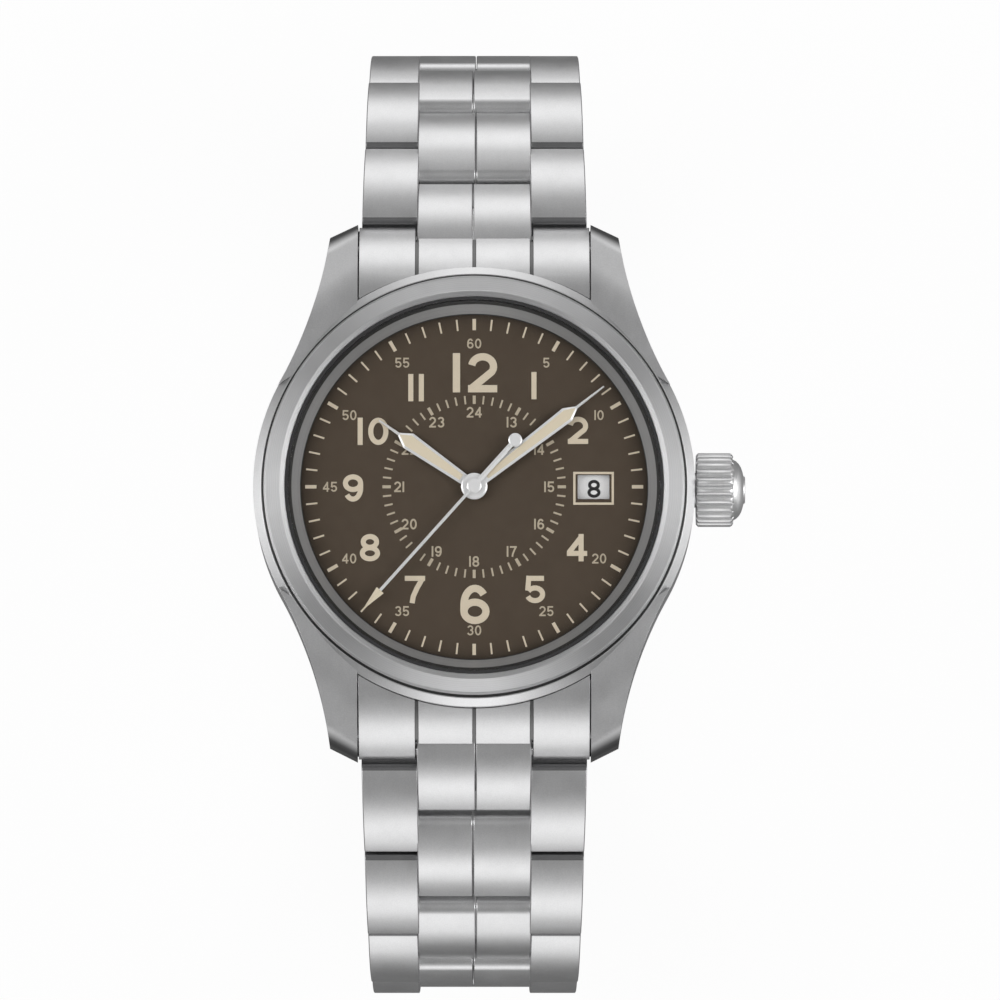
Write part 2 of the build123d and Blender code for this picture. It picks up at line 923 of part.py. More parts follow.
clasp_inner = bracelet_clasp_width / 2 + clasp_side_gap
blade_half_width = clasp_inner - blade_side_gap
clasp_outer = clasp_inner + clasp_wall
cover_back_y = clasp_pivot_y + clasp_length_back
cover_front_y = cover_pivot_y - cover_end_wall


def clasp_cover():
    """The outer leaf: a shallow channel, flat where it rests and turned up at its ends."""
    z = clasp_face
    front, back = cover_front_y, cover_back_y
    outline = make_face(
        Polyline(
            (front, z + clasp_end_rise),
            (clasp_flat_front, z),
            (clasp_flat_back, z),
            (back, z + clasp_end_rise),
            (back, z + clasp_shoulder),
            (back - clasp_shoulder_run, z + clasp_shoulder),
            (clasp_flat_back, z + clasp_side),
            (clasp_flat_front, z + clasp_side),
            (front, z + cover_pivot_height + cover_end_wall),
            close=True,
        )
    )
    channel = make_face(
        Polyline(
            (front - overrun, z + clasp_end_rise + clasp_floor),
            (front, z + clasp_end_rise + clasp_floor),
            (clasp_flat_front, z + clasp_floor),
            (clasp_flat_back, z + clasp_floor),
            (back, z + clasp_end_rise + clasp_floor),
            (back + overrun, z + clasp_end_rise + clasp_floor),
            (back + overrun, z + clasp_shoulder + overrun),
            (front - overrun, z + clasp_shoulder + overrun),
            close=True,
        )
    )
    cover = side_prism(outline, -clasp_outer, clasp_outer)
    cover -= side_prism(channel, -clasp_inner, clasp_inner)
    cover -= block(
        (-clasp_inner, front - overrun, z - overrun),
        (clasp_inner, cover_pivot_y + cover_end_wall, z + clasp_shoulder),
    )
    eye = Circle(link_pin_radius)
    cover -= along_x(eye, -clasp_outer, clasp_outer, clasp_pivot_y, clasp_pivot_z)
    hinge_z = z + cover_pivot_height
    cover -= bar_x(blade_pin_radius, -clasp_outer, clasp_outer, cover_pivot_y, hinge_z)
    half_length = button_length / 2 + running_gap
    half_width = button_width / 2 + running_gap
    cover -= block(
        (-clasp_outer - overrun, button_y - half_length, z + button_height - half_width),
        (clasp_outer + overrun, button_y + half_length, z + button_height + half_width),
    )
    return cover


def clasp_spring_bar():
    face = Circle(link_pin_radius)
    return along_x(face, -clasp_outer, clasp_outer, clasp_pivot_y, clasp_pivot_z)


def cover_hinge_pin():
    z = clasp_face + cover_pivot_height
    return bar_x(blade_pin_radius, -clasp_outer, clasp_outer, cover_pivot_y, z)


def blade_hinge_pin():
    z = clasp_face + blade_pivot_height
    return bar_x(blade_pin_radius, -blade_half_width, blade_half_width, blade_pivot_y, z)


def upper_blade():
    """The middle leaf, hinged in the cover at one end and to the lower blade at the other."""
    z = clasp_face
    half = blade_half_width
    near = (cover_pivot_y, z + cover_pivot_height)
    far = (blade_pivot_y, z + blade_pivot_height)
    eye = blade_knuckle_radius
    blade = block(
        (-half, near[0], z + upper_blade_floor),
        (half, far[0] - eye - fitting_gap, z + upper_blade_floor + upper_blade_thickness),
    )
    middle = blade_middle_half_width
    blade += block(
        (-middle, far[0] - eye - overrun, z + upper_blade_floor),
        (middle, far[0], z + upper_blade_floor + upper_blade_thickness),
    )
    blade += along_x(Circle(eye), -half, half, *near)
    blade += along_x(Circle(eye), -middle, middle, *far)
    blade -= bar_x(blade_pin_radius + running_gap, -half, half, *near)
    return blade - bar_x(blade_pin_radius, -half, half, *far)


def lower_blade():
    """The inner leaf; its narrow tail carries the knuckle that sits in the other end's fork."""
    z = clasp_face
    half = blade_half_width
    far = (blade_pivot_y, z + blade_pivot_height)
    tail = (-clasp_pivot_y, clasp_pivot_z)
    tail_half = centre_width / 2 - fitting_gap
    tail_start = cover_pivot_y + tail_run
    low, top = z + lower_blade_floor, z + lower_blade_floor + lower_blade_thickness
    blade = block((-half, tail_start, low), (half, far[0], top))
    blade += block((-tail_half, tail[0], low), (tail_half, tail_start, top))
    blade += along_x(Circle(link_edge), -tail_half, tail_half, *tail)
    blade += along_x(Circle(blade_knuckle_radius), -half, half, *far)
    middle = blade_middle_half_width + fitting_gap
    back = far[0] - blade_knuckle_radius - fitting_gap
    blade -= block((-middle, back, z), (middle, far[0] + overrun, top + overrun))
    blade -= bar_x(blade_pin_radius + running_gap, -half, half, *far)
    return blade - bar_x(link_pin_radius, -tail_half, tail_half, *tail)


def end_pin():
    half = centre_width / 2 - fitting_gap
    return bar_x(link_pin_radius, -half, half, -clasp_pivot_y, clasp_pivot_z)


def push_button(side):
    """A button in the cover's side wall; it stays a little proud when it is pressed in."""
    z = clasp_face + button_height
    outer = clasp_outer + button_travel + button_proud
    body = block(
        (clasp_inner + running_gap, button_y - button_length / 2, z - button_width / 2),
        (outer, button_y + button_length / 2, z + button_width / 2),
    )
    return body if side > 0 else mirror(body, Plane.YZ)


pieces = {
    "case": case(),
    "case_back": case_back(),
    "back_gasket": back_gasket(),
    "bezel": bezel(),
    "crystal_gasket": crystal_gasket(),
    "crystal": crystal(),
    "rehaut": rehaut(),
    "dial": dial(),
    "date_disc": date_disc(),
    "main_plate": main_plate(),
    "movement_holder": movement_holder(),
    "train_bridge": train_bridge(),
    "battery": battery(),
    "coil": coil(),
    "stator": stator(),
    "rotor": rotor(),
    "intermediate_wheel": intermediate_wheel(),
    "seconds_wheel": seconds_wheel(),
    "cannon_pinion": cannon_pinion(),
    "minute_wheel": minute_wheel(),
    "hour_wheel": hour_wheel(),
    "hour_hand": hour_hand(),
    "minute_hand": minute_hand(),
    "seconds_hand": seconds_hand(),
    "crown": crown(),
    "crown_seal": crown_seal(),
    "crown_tube": crown_tube(),
    "stem": stem(),
    "end_link_12": end_link(1),
    "end_link_6": end_link(-1),
    "spring_bars": spring_bars(),
    "clasp_cover": clasp_cover(),
    "clasp_spring_bar": clasp_spring_bar(),
    "cover_hinge_pin": cover_hinge_pin(),
    "upper_blade": upper_blade(),
    "blade_hinge_pin": blade_hinge_pin(),
    "lower_blade": lower_blade(),
    "end_pin": end_pin(),
    "push_button_right": push_button(1),
    "push_button_left": push_button(-1),
}
for row in range(len(row_slopes)):
    pieces[f"link_12_{row + 1}"] = placed_row(row, 1)
    pieces[f"link_6_{row + 1}"] = placed_row(row, -1)

os.makedirs("parts", exist_ok=True)
for name, shape in pieces.items():
    export_step(shape, f"parts/{name}.step")
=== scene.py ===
"""Field watch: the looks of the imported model, built piece by piece in its own frame.

Metres. The origin is the middle of the case back's flat face, +Z is out of the dial,
+Y points to 12 o'clock and +X to the crown.
"""

from math import cos, pi, radians, sin

import bmesh
import bpy
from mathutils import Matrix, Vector


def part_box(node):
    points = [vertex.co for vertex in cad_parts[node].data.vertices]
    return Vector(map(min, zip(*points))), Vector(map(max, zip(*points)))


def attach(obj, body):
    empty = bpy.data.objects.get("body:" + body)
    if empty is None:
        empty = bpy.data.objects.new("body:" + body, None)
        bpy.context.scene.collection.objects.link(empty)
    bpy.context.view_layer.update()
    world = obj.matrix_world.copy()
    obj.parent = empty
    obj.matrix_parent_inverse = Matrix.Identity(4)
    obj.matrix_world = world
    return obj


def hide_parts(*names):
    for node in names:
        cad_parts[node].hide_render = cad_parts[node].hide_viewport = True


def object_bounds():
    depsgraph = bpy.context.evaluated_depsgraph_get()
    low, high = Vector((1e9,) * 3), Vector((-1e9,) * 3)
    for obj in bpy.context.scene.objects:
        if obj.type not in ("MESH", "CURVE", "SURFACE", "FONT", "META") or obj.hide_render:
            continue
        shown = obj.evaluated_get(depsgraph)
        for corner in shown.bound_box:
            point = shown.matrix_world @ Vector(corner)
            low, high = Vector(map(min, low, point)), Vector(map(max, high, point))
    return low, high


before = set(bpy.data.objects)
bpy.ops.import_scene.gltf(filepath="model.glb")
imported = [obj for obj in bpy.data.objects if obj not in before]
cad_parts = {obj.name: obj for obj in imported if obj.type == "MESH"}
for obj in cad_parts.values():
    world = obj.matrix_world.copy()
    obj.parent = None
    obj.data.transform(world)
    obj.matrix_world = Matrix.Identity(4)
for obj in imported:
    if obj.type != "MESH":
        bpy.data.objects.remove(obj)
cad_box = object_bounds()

# The camera looks down on the dial from far off, leaning a little towards 6 o'clock.
# It is set beside the dial's middle, as the photograph's frame is, and doesn't turn for that.
mm = 0.001
bpy.context.scene.view_settings.view_transform = "Standard"
dial_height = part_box("dial")[1][2]
camera_lean = radians(6.0)
camera_distance = 1.1
photo_pixels = 1000
pixels_per_metre = 11630
dial_middle_pixel = (474.2, 486.8)


def shown(name, data):
    """Puts a mesh, camera or lamp in the scene as an object at the origin."""
    piece = bpy.data.objects.new(name, data)
    bpy.context.scene.collection.objects.link(piece)
    return piece


camera_data = bpy.data.cameras.new("camera")
camera_data.sensor_width = 36.0
camera_data.lens = camera_data.sensor_width * camera_distance * pixels_per_metre / photo_pixels
camera_data.clip_end = 10 * camera_distance
camera = shown("camera", camera_data)
bpy.context.scene.camera = camera
camera.rotation_euler = (camera_lean, 0, 0)
aside, below = ((photo_pixels / 2 - pixel) / pixels_per_metre for pixel in dial_middle_pixel)
camera.location = (
    aside,
    -camera_distance * sin(camera_lean) - below * cos(camera_lean),
    dial_height + camera_distance * cos(camera_lean) - below * sin(camera_lean),
)


# The floor is a wide pale board that the closed watch stands on. It shows near white to the
# camera and through glass, and still darkens where the watch keeps the light off it. Metal
# mirrors a painted glow on it: dark near the watch and towards the corners, light further off.
class Value:
    """A socket in a node tree, so that sums on it add Math nodes to the tree."""

    def __init__(self, nodes, socket):
        self.nodes = nodes
        self.socket = socket

    def __add__(self, other):
        return self.nodes.sum("ADD", self, other)

    def __sub__(self, other):
        return self.nodes.sum("SUBTRACT", self, other)

    def __rsub__(self, other):
        return self.nodes.sum("SUBTRACT", other, self)

    def __mul__(self, other):
        return self.nodes.sum("MULTIPLY", self, other)

    def __truediv__(self, other):
        return self.nodes.sum("DIVIDE", self, other)

    def __pow__(self, other):
        return self.nodes.sum("POWER", self, other)

    def __abs__(self):
        return self.nodes.sum("ABSOLUTE", self)

    __radd__ = __add__
    __rmul__ = __mul__


class Nodes:
    """A node tree under construction."""

    def __init__(self, tree):
        self.tree = tree

    def node(self, kind, inputs=None, output=0, **settings):
        """Adds a node: its settings first, then what its sockets hold or follow."""
        node = self.tree.nodes.new(kind)
        for name, setting in settings.items():
            setattr(node, name, setting)
        for name, value in (inputs or {}).items():
            if isinstance(value, Value):
                self.tree.links.new(value.socket, node.inputs[name])
            else:
                node.inputs[name].default_value = value
        return Value(self, node.outputs[output])

    def sum(self, operation, *values, clamp=False):
        """A Math node; clamp keeps its result between 0 and 1."""
        numbered = dict(enumerate(values))
        return self.node("ShaderNodeMath", numbered, operation=operation, use_clamp=clamp)

    def parts(self, vector):
        """The X, Y and Z of a vector."""
        outputs = self.node("ShaderNodeSeparateXYZ", {0: vector}).socket.node.outputs
        return [Value(self, part) for part in outputs]


class Finish(Nodes):
    """A material or world under construction."""

    def __init__(self, name, owner=None):
        self.owner = owner or bpy.data.materials.new(name)
        self.owner.use_nodes = True
        super().__init__(self.owner.node_tree)
        self.tree.nodes.clear()

    def mix(self, share, first, second):
        """A colour between two colours."""
        colours = {"Factor": share, 6: first, 7: second}
        return self.node("ShaderNodeMix", colours, 2, data_type="RGBA")

    def shades(self, share, colour, low, high=1.0):
        """A colour between a darker and a lighter form of one colour."""
        forms = [[min(1.0, by * part) for part in colour] + [1] for by in (low, high)]
        return self.mix(share, *forms)

    def place(self, stretch=(1, 1, 1), turn=0.0):
        """The point on the piece, in metres, stretched and then turned about Z."""
        point = self.node("ShaderNodeTexCoord", output="Object")
        mapping = {"Vector": point, "Rotation": (0, 0, turn), "Scale": stretch}
        return self.node("ShaderNodeMapping", mapping, vector_type="POINT")

    def radius(self):
        """How far the point lies from the watch's axis."""
        flat = {0: self.place((1, 1, 0))}
        return self.node("ShaderNodeVectorMath", flat, 1, operation="LENGTH")

    def rings(self, line):
        """Noise from 0 to 1 in rings about the watch's axis, about that far apart."""
        marks = {"W": self.radius(), "Scale": 1 / line}
        return self.node("ShaderNodeTexNoise", marks, noise_dimensions="1D")

    def grain(self, size, stretch=(1, 1, 1), detail=3.0, turn=0.0):
        """Noise from 0 to 1 whose marks are about that size in metres."""
        marks = {"Vector": self.place(stretch, turn), "Scale": 1 / size, "Detail": detail}
        return self.node("ShaderNodeTexNoise", marks, noise_dimensions="3D")

    def bump(self, height, depth):
        inputs = {"Height": height, "Distance": depth, "Strength": 1.0}
        return self.node("ShaderNodeBump", inputs)

    def ray_is(self, kind):
        """1 for rays of one kind, such as Camera or Glossy, and 0 for others."""
        rays = self.tree.nodes.new("ShaderNodeLightPath").outputs
        return Value(self, rays[f"Is {kind} Ray"])

    def end(self, surface):
        owner_kind = "World" if isinstance(self.owner, bpy.types.World) else "Material"
        out = self.tree.nodes.new("ShaderNodeOutput" + owner_kind)
        self.tree.links.new(surface.socket, out.inputs["Surface"])
        return self.owner

    def surface(self, **inputs):
        """Ends the finish in one shader; a name such as base_color is its Base Color socket."""
        names = {name.replace("_", " ").title().replace("Ior", "IOR"): value
                 for name, value in inputs.items()}
        return self.end(self.node("ShaderNodeBsdfPrincipled", names))


floor_span = 6.0
floor_height = cad_box[0][2] - 0.02 * mm
dark_reach, light_reach = 0.08, 0.33
seen_share, mirrored_share, mirrored_strength = 0.94, 0.9, 1.5
floor = Finish("pale_board")
matt = floor.node("ShaderNodeBsdfDiffuse", {"Color": (0.82, 0.82, 0.82, 1)})
glow = floor.node("ShaderNodeEmission", {"Color": (1, 1, 1, 1), "Strength": 1.0})
floor_x, floor_y, _ = floor.parts(floor.place())
spread = floor_x * floor_x + floor_y * floor_y + 0.000001
four_ways = (floor_x * floor_x - floor_y * floor_y) / spread
far_off = floor.sum("DIVIDE", spread ** 0.5 - dark_reach, light_reach - dark_reach, clamp=True)
# Painted light: to glossy rays the board glows dark near the watch and light further off.
far_light = floor.mix(far_off * four_ways * four_ways, (0.07, 0.07, 0.07, 1), (1, 1, 1, 1))
mirror_glow = floor.node("ShaderNodeEmission", {"Color": far_light, "Strength": mirrored_strength})
seen = floor.ray_is("Camera") + floor.ray_is("Transmission")
lit = floor.node("ShaderNodeMixShader", {0: seen * seen_share, 1: matt, 2: glow})
mirrored = floor.ray_is("Glossy") * mirrored_share
floor.end(floor.node("ShaderNodeMixShader", {0: mirrored, 1: lit, 2: mirror_glow}))
floor_mesh = bpy.data.meshes.new("floor")
half = floor_span / 2
floor_corners = [(-half, -half), (half, -half), (half, half), (-half, half)]
floor_mesh.from_pydata([(x, y, floor_height) for x, y in floor_corners], [], [(0, 1, 2, 3)])
floor_mesh.materials.append(floor.owner)
shown("floor", floor_mesh)


# The studio is a grey room with dark corners. A low band of light runs along its walls beyond
# 12 and 6 o'clock and a high one along its sides, so brushed and curved metal is brightest
# where it faces them. Two soft lamps above add to the light on the dial.
room = bpy.data.worlds.new("studio")
bpy.context.scene.world = room
studio = Finish("studio", room)
across, along, upward = studio.parts(studio.node("ShaderNodeTexCoord", output="Generated"))
towards_ends = along * along / (across * across + along * along + 0.0001)
off_corner = (towards_ends * 2 - 1) * (towards_ends * 2 - 1)


def wall(*stops):
    """One wall's grey from the floor, 0, over the horizon, 0.5, to straight up, 1."""
    ramp = studio.node("ShaderNodeValToRGB", {0: upward * 0.5 + 0.5})
    elements = ramp.socket.node.color_ramp.elements
    for number, (place, grey) in enumerate(stops):
        stop = elements[number] if number < 2 else elements.new(place)
        stop.position = place
        stop.color = (grey, grey, grey, 1)
    return ramp


ends = wall((0.44, 0.04), (1.0, 0.14), (0.50, 0.50), (0.64, 0.58), (0.77, 0.22), (0.88, 0.07))
sides = wall(
    (0.44, 0.04), (1.0, 0.14), (0.50, 0.12), (0.62, 0.3), (0.72, 1.9), (0.84, 1.9), (0.94, 0.14)
)
corners = wall((0.44, 0.04), (1.0, 0.12), (0.60, 0.05), (0.90, 0.04))
shade = studio.mix(off_corner ** 1.7, corners, studio.mix(towards_ends, sides, ends))
backdrop = studio.mix(studio.ray_is("Camera"), shade, (0.33, 0.33, 0.33, 1))
studio.end(studio.node("ShaderNodeBackground", {"Color": backdrop, "Strength": 3.0}))


def lamp(name, place, width, watts):
    light = bpy.data.lights.new(name, "AREA")
    light.shape = "DISK"
    light.size = width
    light.energy = watts
    holder = shown(name, light)
    holder.location = place
    holder.rotation_euler = (-Vector(place)).to_track_quat("-Z", "Y").to_euler()
    holder.visible_glossy = False


lamp("key_lamp", (-0.25, 0.35, 0.95), 0.6, 1.3)
lamp("fill_lamp", (0.2, -0.5, 0.8), 0.6, 1.3)


# The case and its four lugs are one forging of stainless steel, machined and then blasted
# with fine beads. It is a turned barrel with a lug running out of it at each corner: each lug
# bends down softly from the barrel's top and rolls over at its tip, which is painted darker as
# shade. All edges are eased.
case_grain = 0.11 * mm
case_edge = 0.14 * mm


def eased(node, edge, finish, slot, body="head", segments=2):
    """Puts in place of a CAD node a closed copy of its shape with its edges eased."""
    source = bmesh.new()
    source.from_mesh(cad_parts[node].data)
    bmesh.ops.remove_doubles(source, verts=source.verts, dist=mm / 1000)
    flats = radians(0.5)
    bmesh.ops.dissolve_limit(source, angle_limit=flats, verts=source.verts, edges=source.edges)
    source.verts.index_update()
    mesh = bpy.data.meshes.new(node + "_eased")
    points = [tuple(point.co) for point in source.verts]
    mesh.from_pydata(points, [], [[point.index for point in face.verts] for face in source.faces])
    source.free()
    fitted(ease(shown(node + "_eased", mesh), edge, segments), body, finish, slot, node)


def ease(piece, edge, segments=2, sharp=28):
    """Rounds a piece's edges that turn by more than the sharp angle, and smooths the rest."""
    bevel = piece.modifiers.new("eased_edges", "BEVEL")
    bevel.width = edge
    bevel.segments = segments
    bevel.limit_method = "ANGLE"
    bevel.angle_limit = radians(sharp)
    bevel.harden_normals = True
    piece.data.shade_smooth()
    return plain(piece)


def plain(piece):
    """Turns what a piece's modifiers make into its plain mesh."""
    bpy.context.view_layer.update()
    made = piece.evaluated_get(bpy.context.evaluated_depsgraph_get())
    mesh = bpy.data.meshes.new_from_object(made)
    mesh.name = piece.name
    piece.modifiers.clear()
    piece.data = mesh
    return piece


def settled(piece, body, slot, *nodes):
    """Gives a piece its body, in place of the CAD nodes that it stands for."""
    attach(piece, body)
    if nodes:
        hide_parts(*nodes)


def fitted(piece, body, finish, slot, node):
    """Gives a piece its one finish and puts it in place of a CAD node."""
    piece.data.materials.clear()
    piece.data.materials.append(finish)
    settled(piece, body, slot, node)


def blasted_steel(name, colour, grain, roughness, grooves=(), groove_width=0.0, tip_shade_from=0.0):
    """Blasted stainless steel, with painted shade in grooves across X and on rolled tips.

    The painted tip shade starts at that reach, measured square to the slant that cuts the tips
    off.
    """
    finish = Finish(name)
    dimples = finish.grain(grain)
    cloud = finish.grain(20 * grain, detail=2.0)
    scuffs = finish.grain(4 * grain, (1, 0.08, 1), turn=0.4)
    steel = finish.shades(dimples * 0.6 + cloud * 0.2 + scuffs * 0.2, colour, 0.78, 1.16)
    if grooves or tip_shade_from:
        x, y, _ = finish.parts(finish.place())
    for place in grooves:
        # Painted shade: each groove's floor is darkened.
        in_groove_shade = finish.sum("COMPARE", x, place, groove_width / 2)
        steel = finish.mix(in_groove_shade, steel, (0.16, 0.16, 0.16, 1))
    # Painted shade: the rolled tips darken from the given reach on.
    if tip_shade_from:
        slant_x, slant_y, soft_run = 0.447, 0.894, 0.9 * mm
        reach = abs(x) * slant_x + abs(y) * slant_y
        rolled = finish.sum("DIVIDE", reach - tip_shade_from, soft_run, clamp=True)
        steel = finish.mix(rolled * 0.9, steel, (0.10, 0.10, 0.10, 1))
    return finish.surface(
        base_color=steel,
        metallic=1.0,
        roughness=cloud * 0.10 + dimples * 0.08 + (roughness - 0.09),
        normal=finish.bump(dimples, 0.0012 * mm),
    )


case_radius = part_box("bezel")[1][0] + 0.7 * mm
case_low, case_top = 1.0 * mm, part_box("bezel")[0][2]
case_bore, case_bevel = 16.06 * mm, 0.65 * mm
lug_inner, lug_tip_x, lug_reach, lug_corner = 10.05 * mm, 12.45 * mm, 23.2 * mm, 1.2 * mm
lug_root_x, lug_waist = 16.85 * mm, (14.1 * mm, 14.9 * mm)
lug_root_y = (case_radius ** 2 - lug_root_x ** 2) ** 0.5
lug_heel, lug_roll_run, lug_roll_drop = 15.0 * mm, 1.3 * mm, 1.5 * mm


def looped(sections, count):
    """Faces that join sections of so many points round in a closed ring."""
    faces = []
    for section in range(sections):
        here, after = section * count, (section + 1) % sections * count
        for spot in range(count):
            following = (spot + 1) % count
            faces.append([here + spot, after + spot, after + following, here + following])
    return faces


def joined(sections, count):
    """Faces that join sections of so many points in a row, with a flat face at either end."""
    last = (sections - 1) * count
    return looped(sections, count)[:last] + [list(range(count)), list(range(last, last + count))]


def shifted(faces, start):
    """The same faces, for points that follow so many others."""
    return [[start + corner for corner in face] for face in faces]


def lathe(profile, sides):
    """Points and faces of a ring turned about the watch's axis from (radius, z) points."""
    turns = [2 * pi * side / sides for side in range(sides)]
    points = [(r * cos(turn), r * sin(turn), z) for turn in turns for r, z in profile]
    return points, looped(sides, len(profile))


def lug_flank(y):
    """How far out the lug's outer flank lies: an arc through its tip, its waist and its root."""
    tip, waist = complex(lug_tip_x, lug_reach - lug_corner), complex(*lug_waist)
    root = (complex(lug_root_x, lug_root_y) - tip) / (waist - tip)
    middle = (waist - tip) * (root - abs(root) ** 2) / (root - root.conjugate()) + tip
    return middle.real - (abs(middle - tip) ** 2 - (y - middle.imag) ** 2) ** 0.5


def lug_top(y):
    """The lug's height: level by the bezel, then sloping down after a soft bend."""
    bend_run, fall = 2.2 * mm, 0.425
    past = max(0.0, y - lug_heel + bend_run)
    if past < 2 * bend_run:
        return case_top - fall * past ** 2 / (4 * bend_run)
    return case_top - fall * (y - lug_heel)


def lug_roll(y):
    """How far the lug's end has rolled over at this reach."""
    past = max(0.0, (y - lug_reach) / lug_roll_run + 1)
    return (1 - (1 - min(1.0, past) ** 2) ** 0.5) * lug_roll_drop


def lug():
    """Points and faces of one lug, as four-sided sections from its root to its tip."""
    steps, crowding, droop, sink, bore_margin = 44, 1.6, 0.8 * mm, 0.005 * mm, 0.5 * mm
    inner_root_y = ((case_bore + bore_margin) ** 2 - lug_inner ** 2) ** 0.5
    points = []
    for step in range(steps + 1):
        share = 1 - (1 - step / steps) ** crowding
        inner_y = inner_root_y + (lug_reach - inner_root_y) * share
        outer_y = lug_root_y + (lug_reach - lug_corner - lug_root_y) * share
        outer_x = lug_flank(outer_y)
        sunk = lug_roll(inner_y) + sink
        low = case_low - droop * max(0.0, (inner_y - lug_heel) / (lug_reach - lug_heel))
        points += [
            (lug_inner, inner_y, low), (lug_inner, inner_y, lug_top(inner_y) - sunk),
            (outer_x, outer_y, lug_top(outer_y) - sunk), (outer_x, outer_y, low),
        ]
    return points, joined(steps + 1, 4)


def outward(mesh, merge=0.0):
    """Merges a mesh's points that lie this close, and makes its normals point outwards."""
    tidy = bmesh.new()
    tidy.from_mesh(mesh)
    if merge:
        bmesh.ops.remove_doubles(tidy, verts=tidy.verts, dist=merge)
    bmesh.ops.recalc_face_normals(tidy, faces=tidy.faces)
    tidy.to_mesh(mesh)
    tidy.free()
    return mesh


def skin(name, points, faces, finishes=(), face_finishes=()):
    """A closed piece from its points and faces, perhaps with several finishes."""
    mesh = bpy.data.meshes.new(name)
    mesh.from_pydata(points, [], faces)
    for finish in finishes:
        mesh.materials.append(finish)
    for polygon, number in zip(mesh.polygons, face_finishes):
        polygon.material_index = number
    return shown(name, outward(mesh, mm / 2000))


def case_shape():
    """The turned barrel and the four lugs, as closed shells in one piece."""
    profile = [
        (case_bore, case_low), (case_radius, case_low), (case_radius, case_top - case_bevel),
        (case_radius - case_bevel, case_top), (case_bore, case_top),
    ]
    points, faces = lathe(profile, sides=180)
    lug_points, lug_faces = lug()
    for across, along in ((1, 1), (-1, 1), (1, -1), (-1, -1)):
        faces += shifted(lug_faces, len(points))
        points += [(across * x, along * y, z) for x, y, z in lug_points]
    return skin("case_shaped", points, faces)


# The lug tips are painted darker from this reach on, as shade.
case_steel = blasted_steel(
    "case_blasted_steel", (0.74, 0.74, 0.745), case_grain, 0.36, tip_shade_from=23.95 * mm
)
fitted(ease(case_shape(), case_edge), "head", case_steel, "case_steel", "case")


# The back is a turned steel disc, brushed round and round, with six slots for a case key.
# It presses a flat black seal on its spigot, out of sight, against the case.
def turned_steel(name, colour, line, roughness, painted_shade_from=0.0):
    """Steel with the fine rings that a brush leaves on a turned face.

    Given a radius, steel beyond it is painted dark as shade, and short strokes cross the rings.
    """
    finish = Finish(name)
    rings = finish.rings(line)
    cloud = finish.grain(3 * mm, detail=2.0)
    lines = rings * 0.75 + finish.grain(line, detail=2.0) * 0.25
    steel = finish.shades(lines * 0.7 + cloud * 0.3, colour, 0.78, 1.15)
    shine = rings * 0.14 + cloud * 0.06 + (roughness - 0.1)
    uneven = finish.bump(lines, 0.0015 * mm)
    if not painted_shade_from:
        return finish.surface(base_color=steel, metallic=1.0, roughness=shine, normal=uneven)
    # Painted shade: steel beyond the radius is darkened.
    painted_shade = finish.sum("GREATER_THAN", finish.radius(), painted_shade_from)
    brushed = {
        "Base Color": finish.mix(painted_shade, steel, (0.06, 0.06, 0.06, 1)), "Metallic": 1.0,
        "Roughness": shine, "Normal": uneven, "Anisotropic": 1.0,
    }
    ringed, crossed = (
        finish.node("ShaderNodeBsdfPrincipled", {**brushed, "Anisotropic Rotation": turn})
        for turn in (0.0, 0.25)
    )
    return finish.end(finish.node("ShaderNodeMixShader", {0: 0.5, 1: ringed, 2: crossed}))


back_steel = turned_steel("back_turned_steel", (0.60, 0.60, 0.605), 0.07 * mm, 0.30)
eased("case_back", 0.1 * mm, back_steel, "case_steel")


def dressed(finish, *nodes):
    """Gives CAD nodes that show as they are a finish of their own."""
    for node in nodes:
        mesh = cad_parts[node].data
        mesh.materials.clear()
        mesh.materials.append(finish)


def soft_black(name, speck):
    finish = Finish(name)
    dust = finish.grain(speck)
    patch = finish.grain(20 * speck)
    return finish.surface(
        base_color=finish.mix(
            dust * 0.6 + patch * 0.4, (0.012, 0.012, 0.013, 1), (0.03, 0.03, 0.031, 1)
        ),
        roughness=dust * 0.15 + 0.5,
        normal=finish.bump(dust, 0.004 * mm),
    )


seal_rubber = soft_black("seal_rubber", 0.08 * mm)
dressed(seal_rubber, "back_gasket")


# The bezel is a turned steel ring, brushed in rings and across them on its flat, with a
# bright chamfer inside and its outer wall painted dark as shade. A thin black seal stands
# between it and the flat, clear glass.
bezel_steel = turned_steel(
    "bezel_brushed_steel", (0.86, 0.86, 0.865), 0.06 * mm, 0.68, painted_shade_from=18.09 * mm
)
eased("bezel", 0.07 * mm, bezel_steel, "bezel_steel")
dressed(seal_rubber, "crystal_gasket")

# The glass is a flat, clear disc with faint wipe marks. It is seen mostly by what it mirrors
# where it is looked at on a slant.
glass = Finish("clear_glass")
wipe = glass.grain(2 * mm, (1, 0.2, 1), turn=0.5)
slant = glass.node("ShaderNodeLayerWeight", {"Blend": 0.15}, 1)
clear_glass = glass.surface(
    base_color=(0.03, 0.03, 0.032, 1), roughness=wipe * 0.02 + 0.01, ior=1.5,
    alpha=slant * 0.25 + 0.02,
)
eased("crystal", 0.12 * mm, clear_glass, "crystal", segments=1)

# The ring that slopes from the glass to the dial is turned from steel and left satin. Painted
# shade darkens its foot and the band where the seal above keeps the light off it; it is grey
# between.
ring_light_from, ring_light_to = 14.97 * mm, 15.70 * mm
satin = Finish("sloping_ring_steel")
rings = satin.rings(0.08 * mm)
grey = satin.mix(rings, (0.28, 0.28, 0.28, 1), (0.42, 0.42, 0.42, 1))
lit_middle, lit_width = (ring_light_to + ring_light_from) / 2, ring_light_to - ring_light_from
in_light = satin.sum("COMPARE", satin.radius(), lit_middle, lit_width / 2)
satin_steel = satin.surface(
    base_color=satin.mix(in_light, (0.045, 0.045, 0.045, 1), grey), metallic=0.45,
    roughness=rings * 0.1 + 0.3, normal=satin.bump(rings, 0.001 * mm),
)
eased("rehaut", 0.03 * mm, satin_steel, "rehaut")
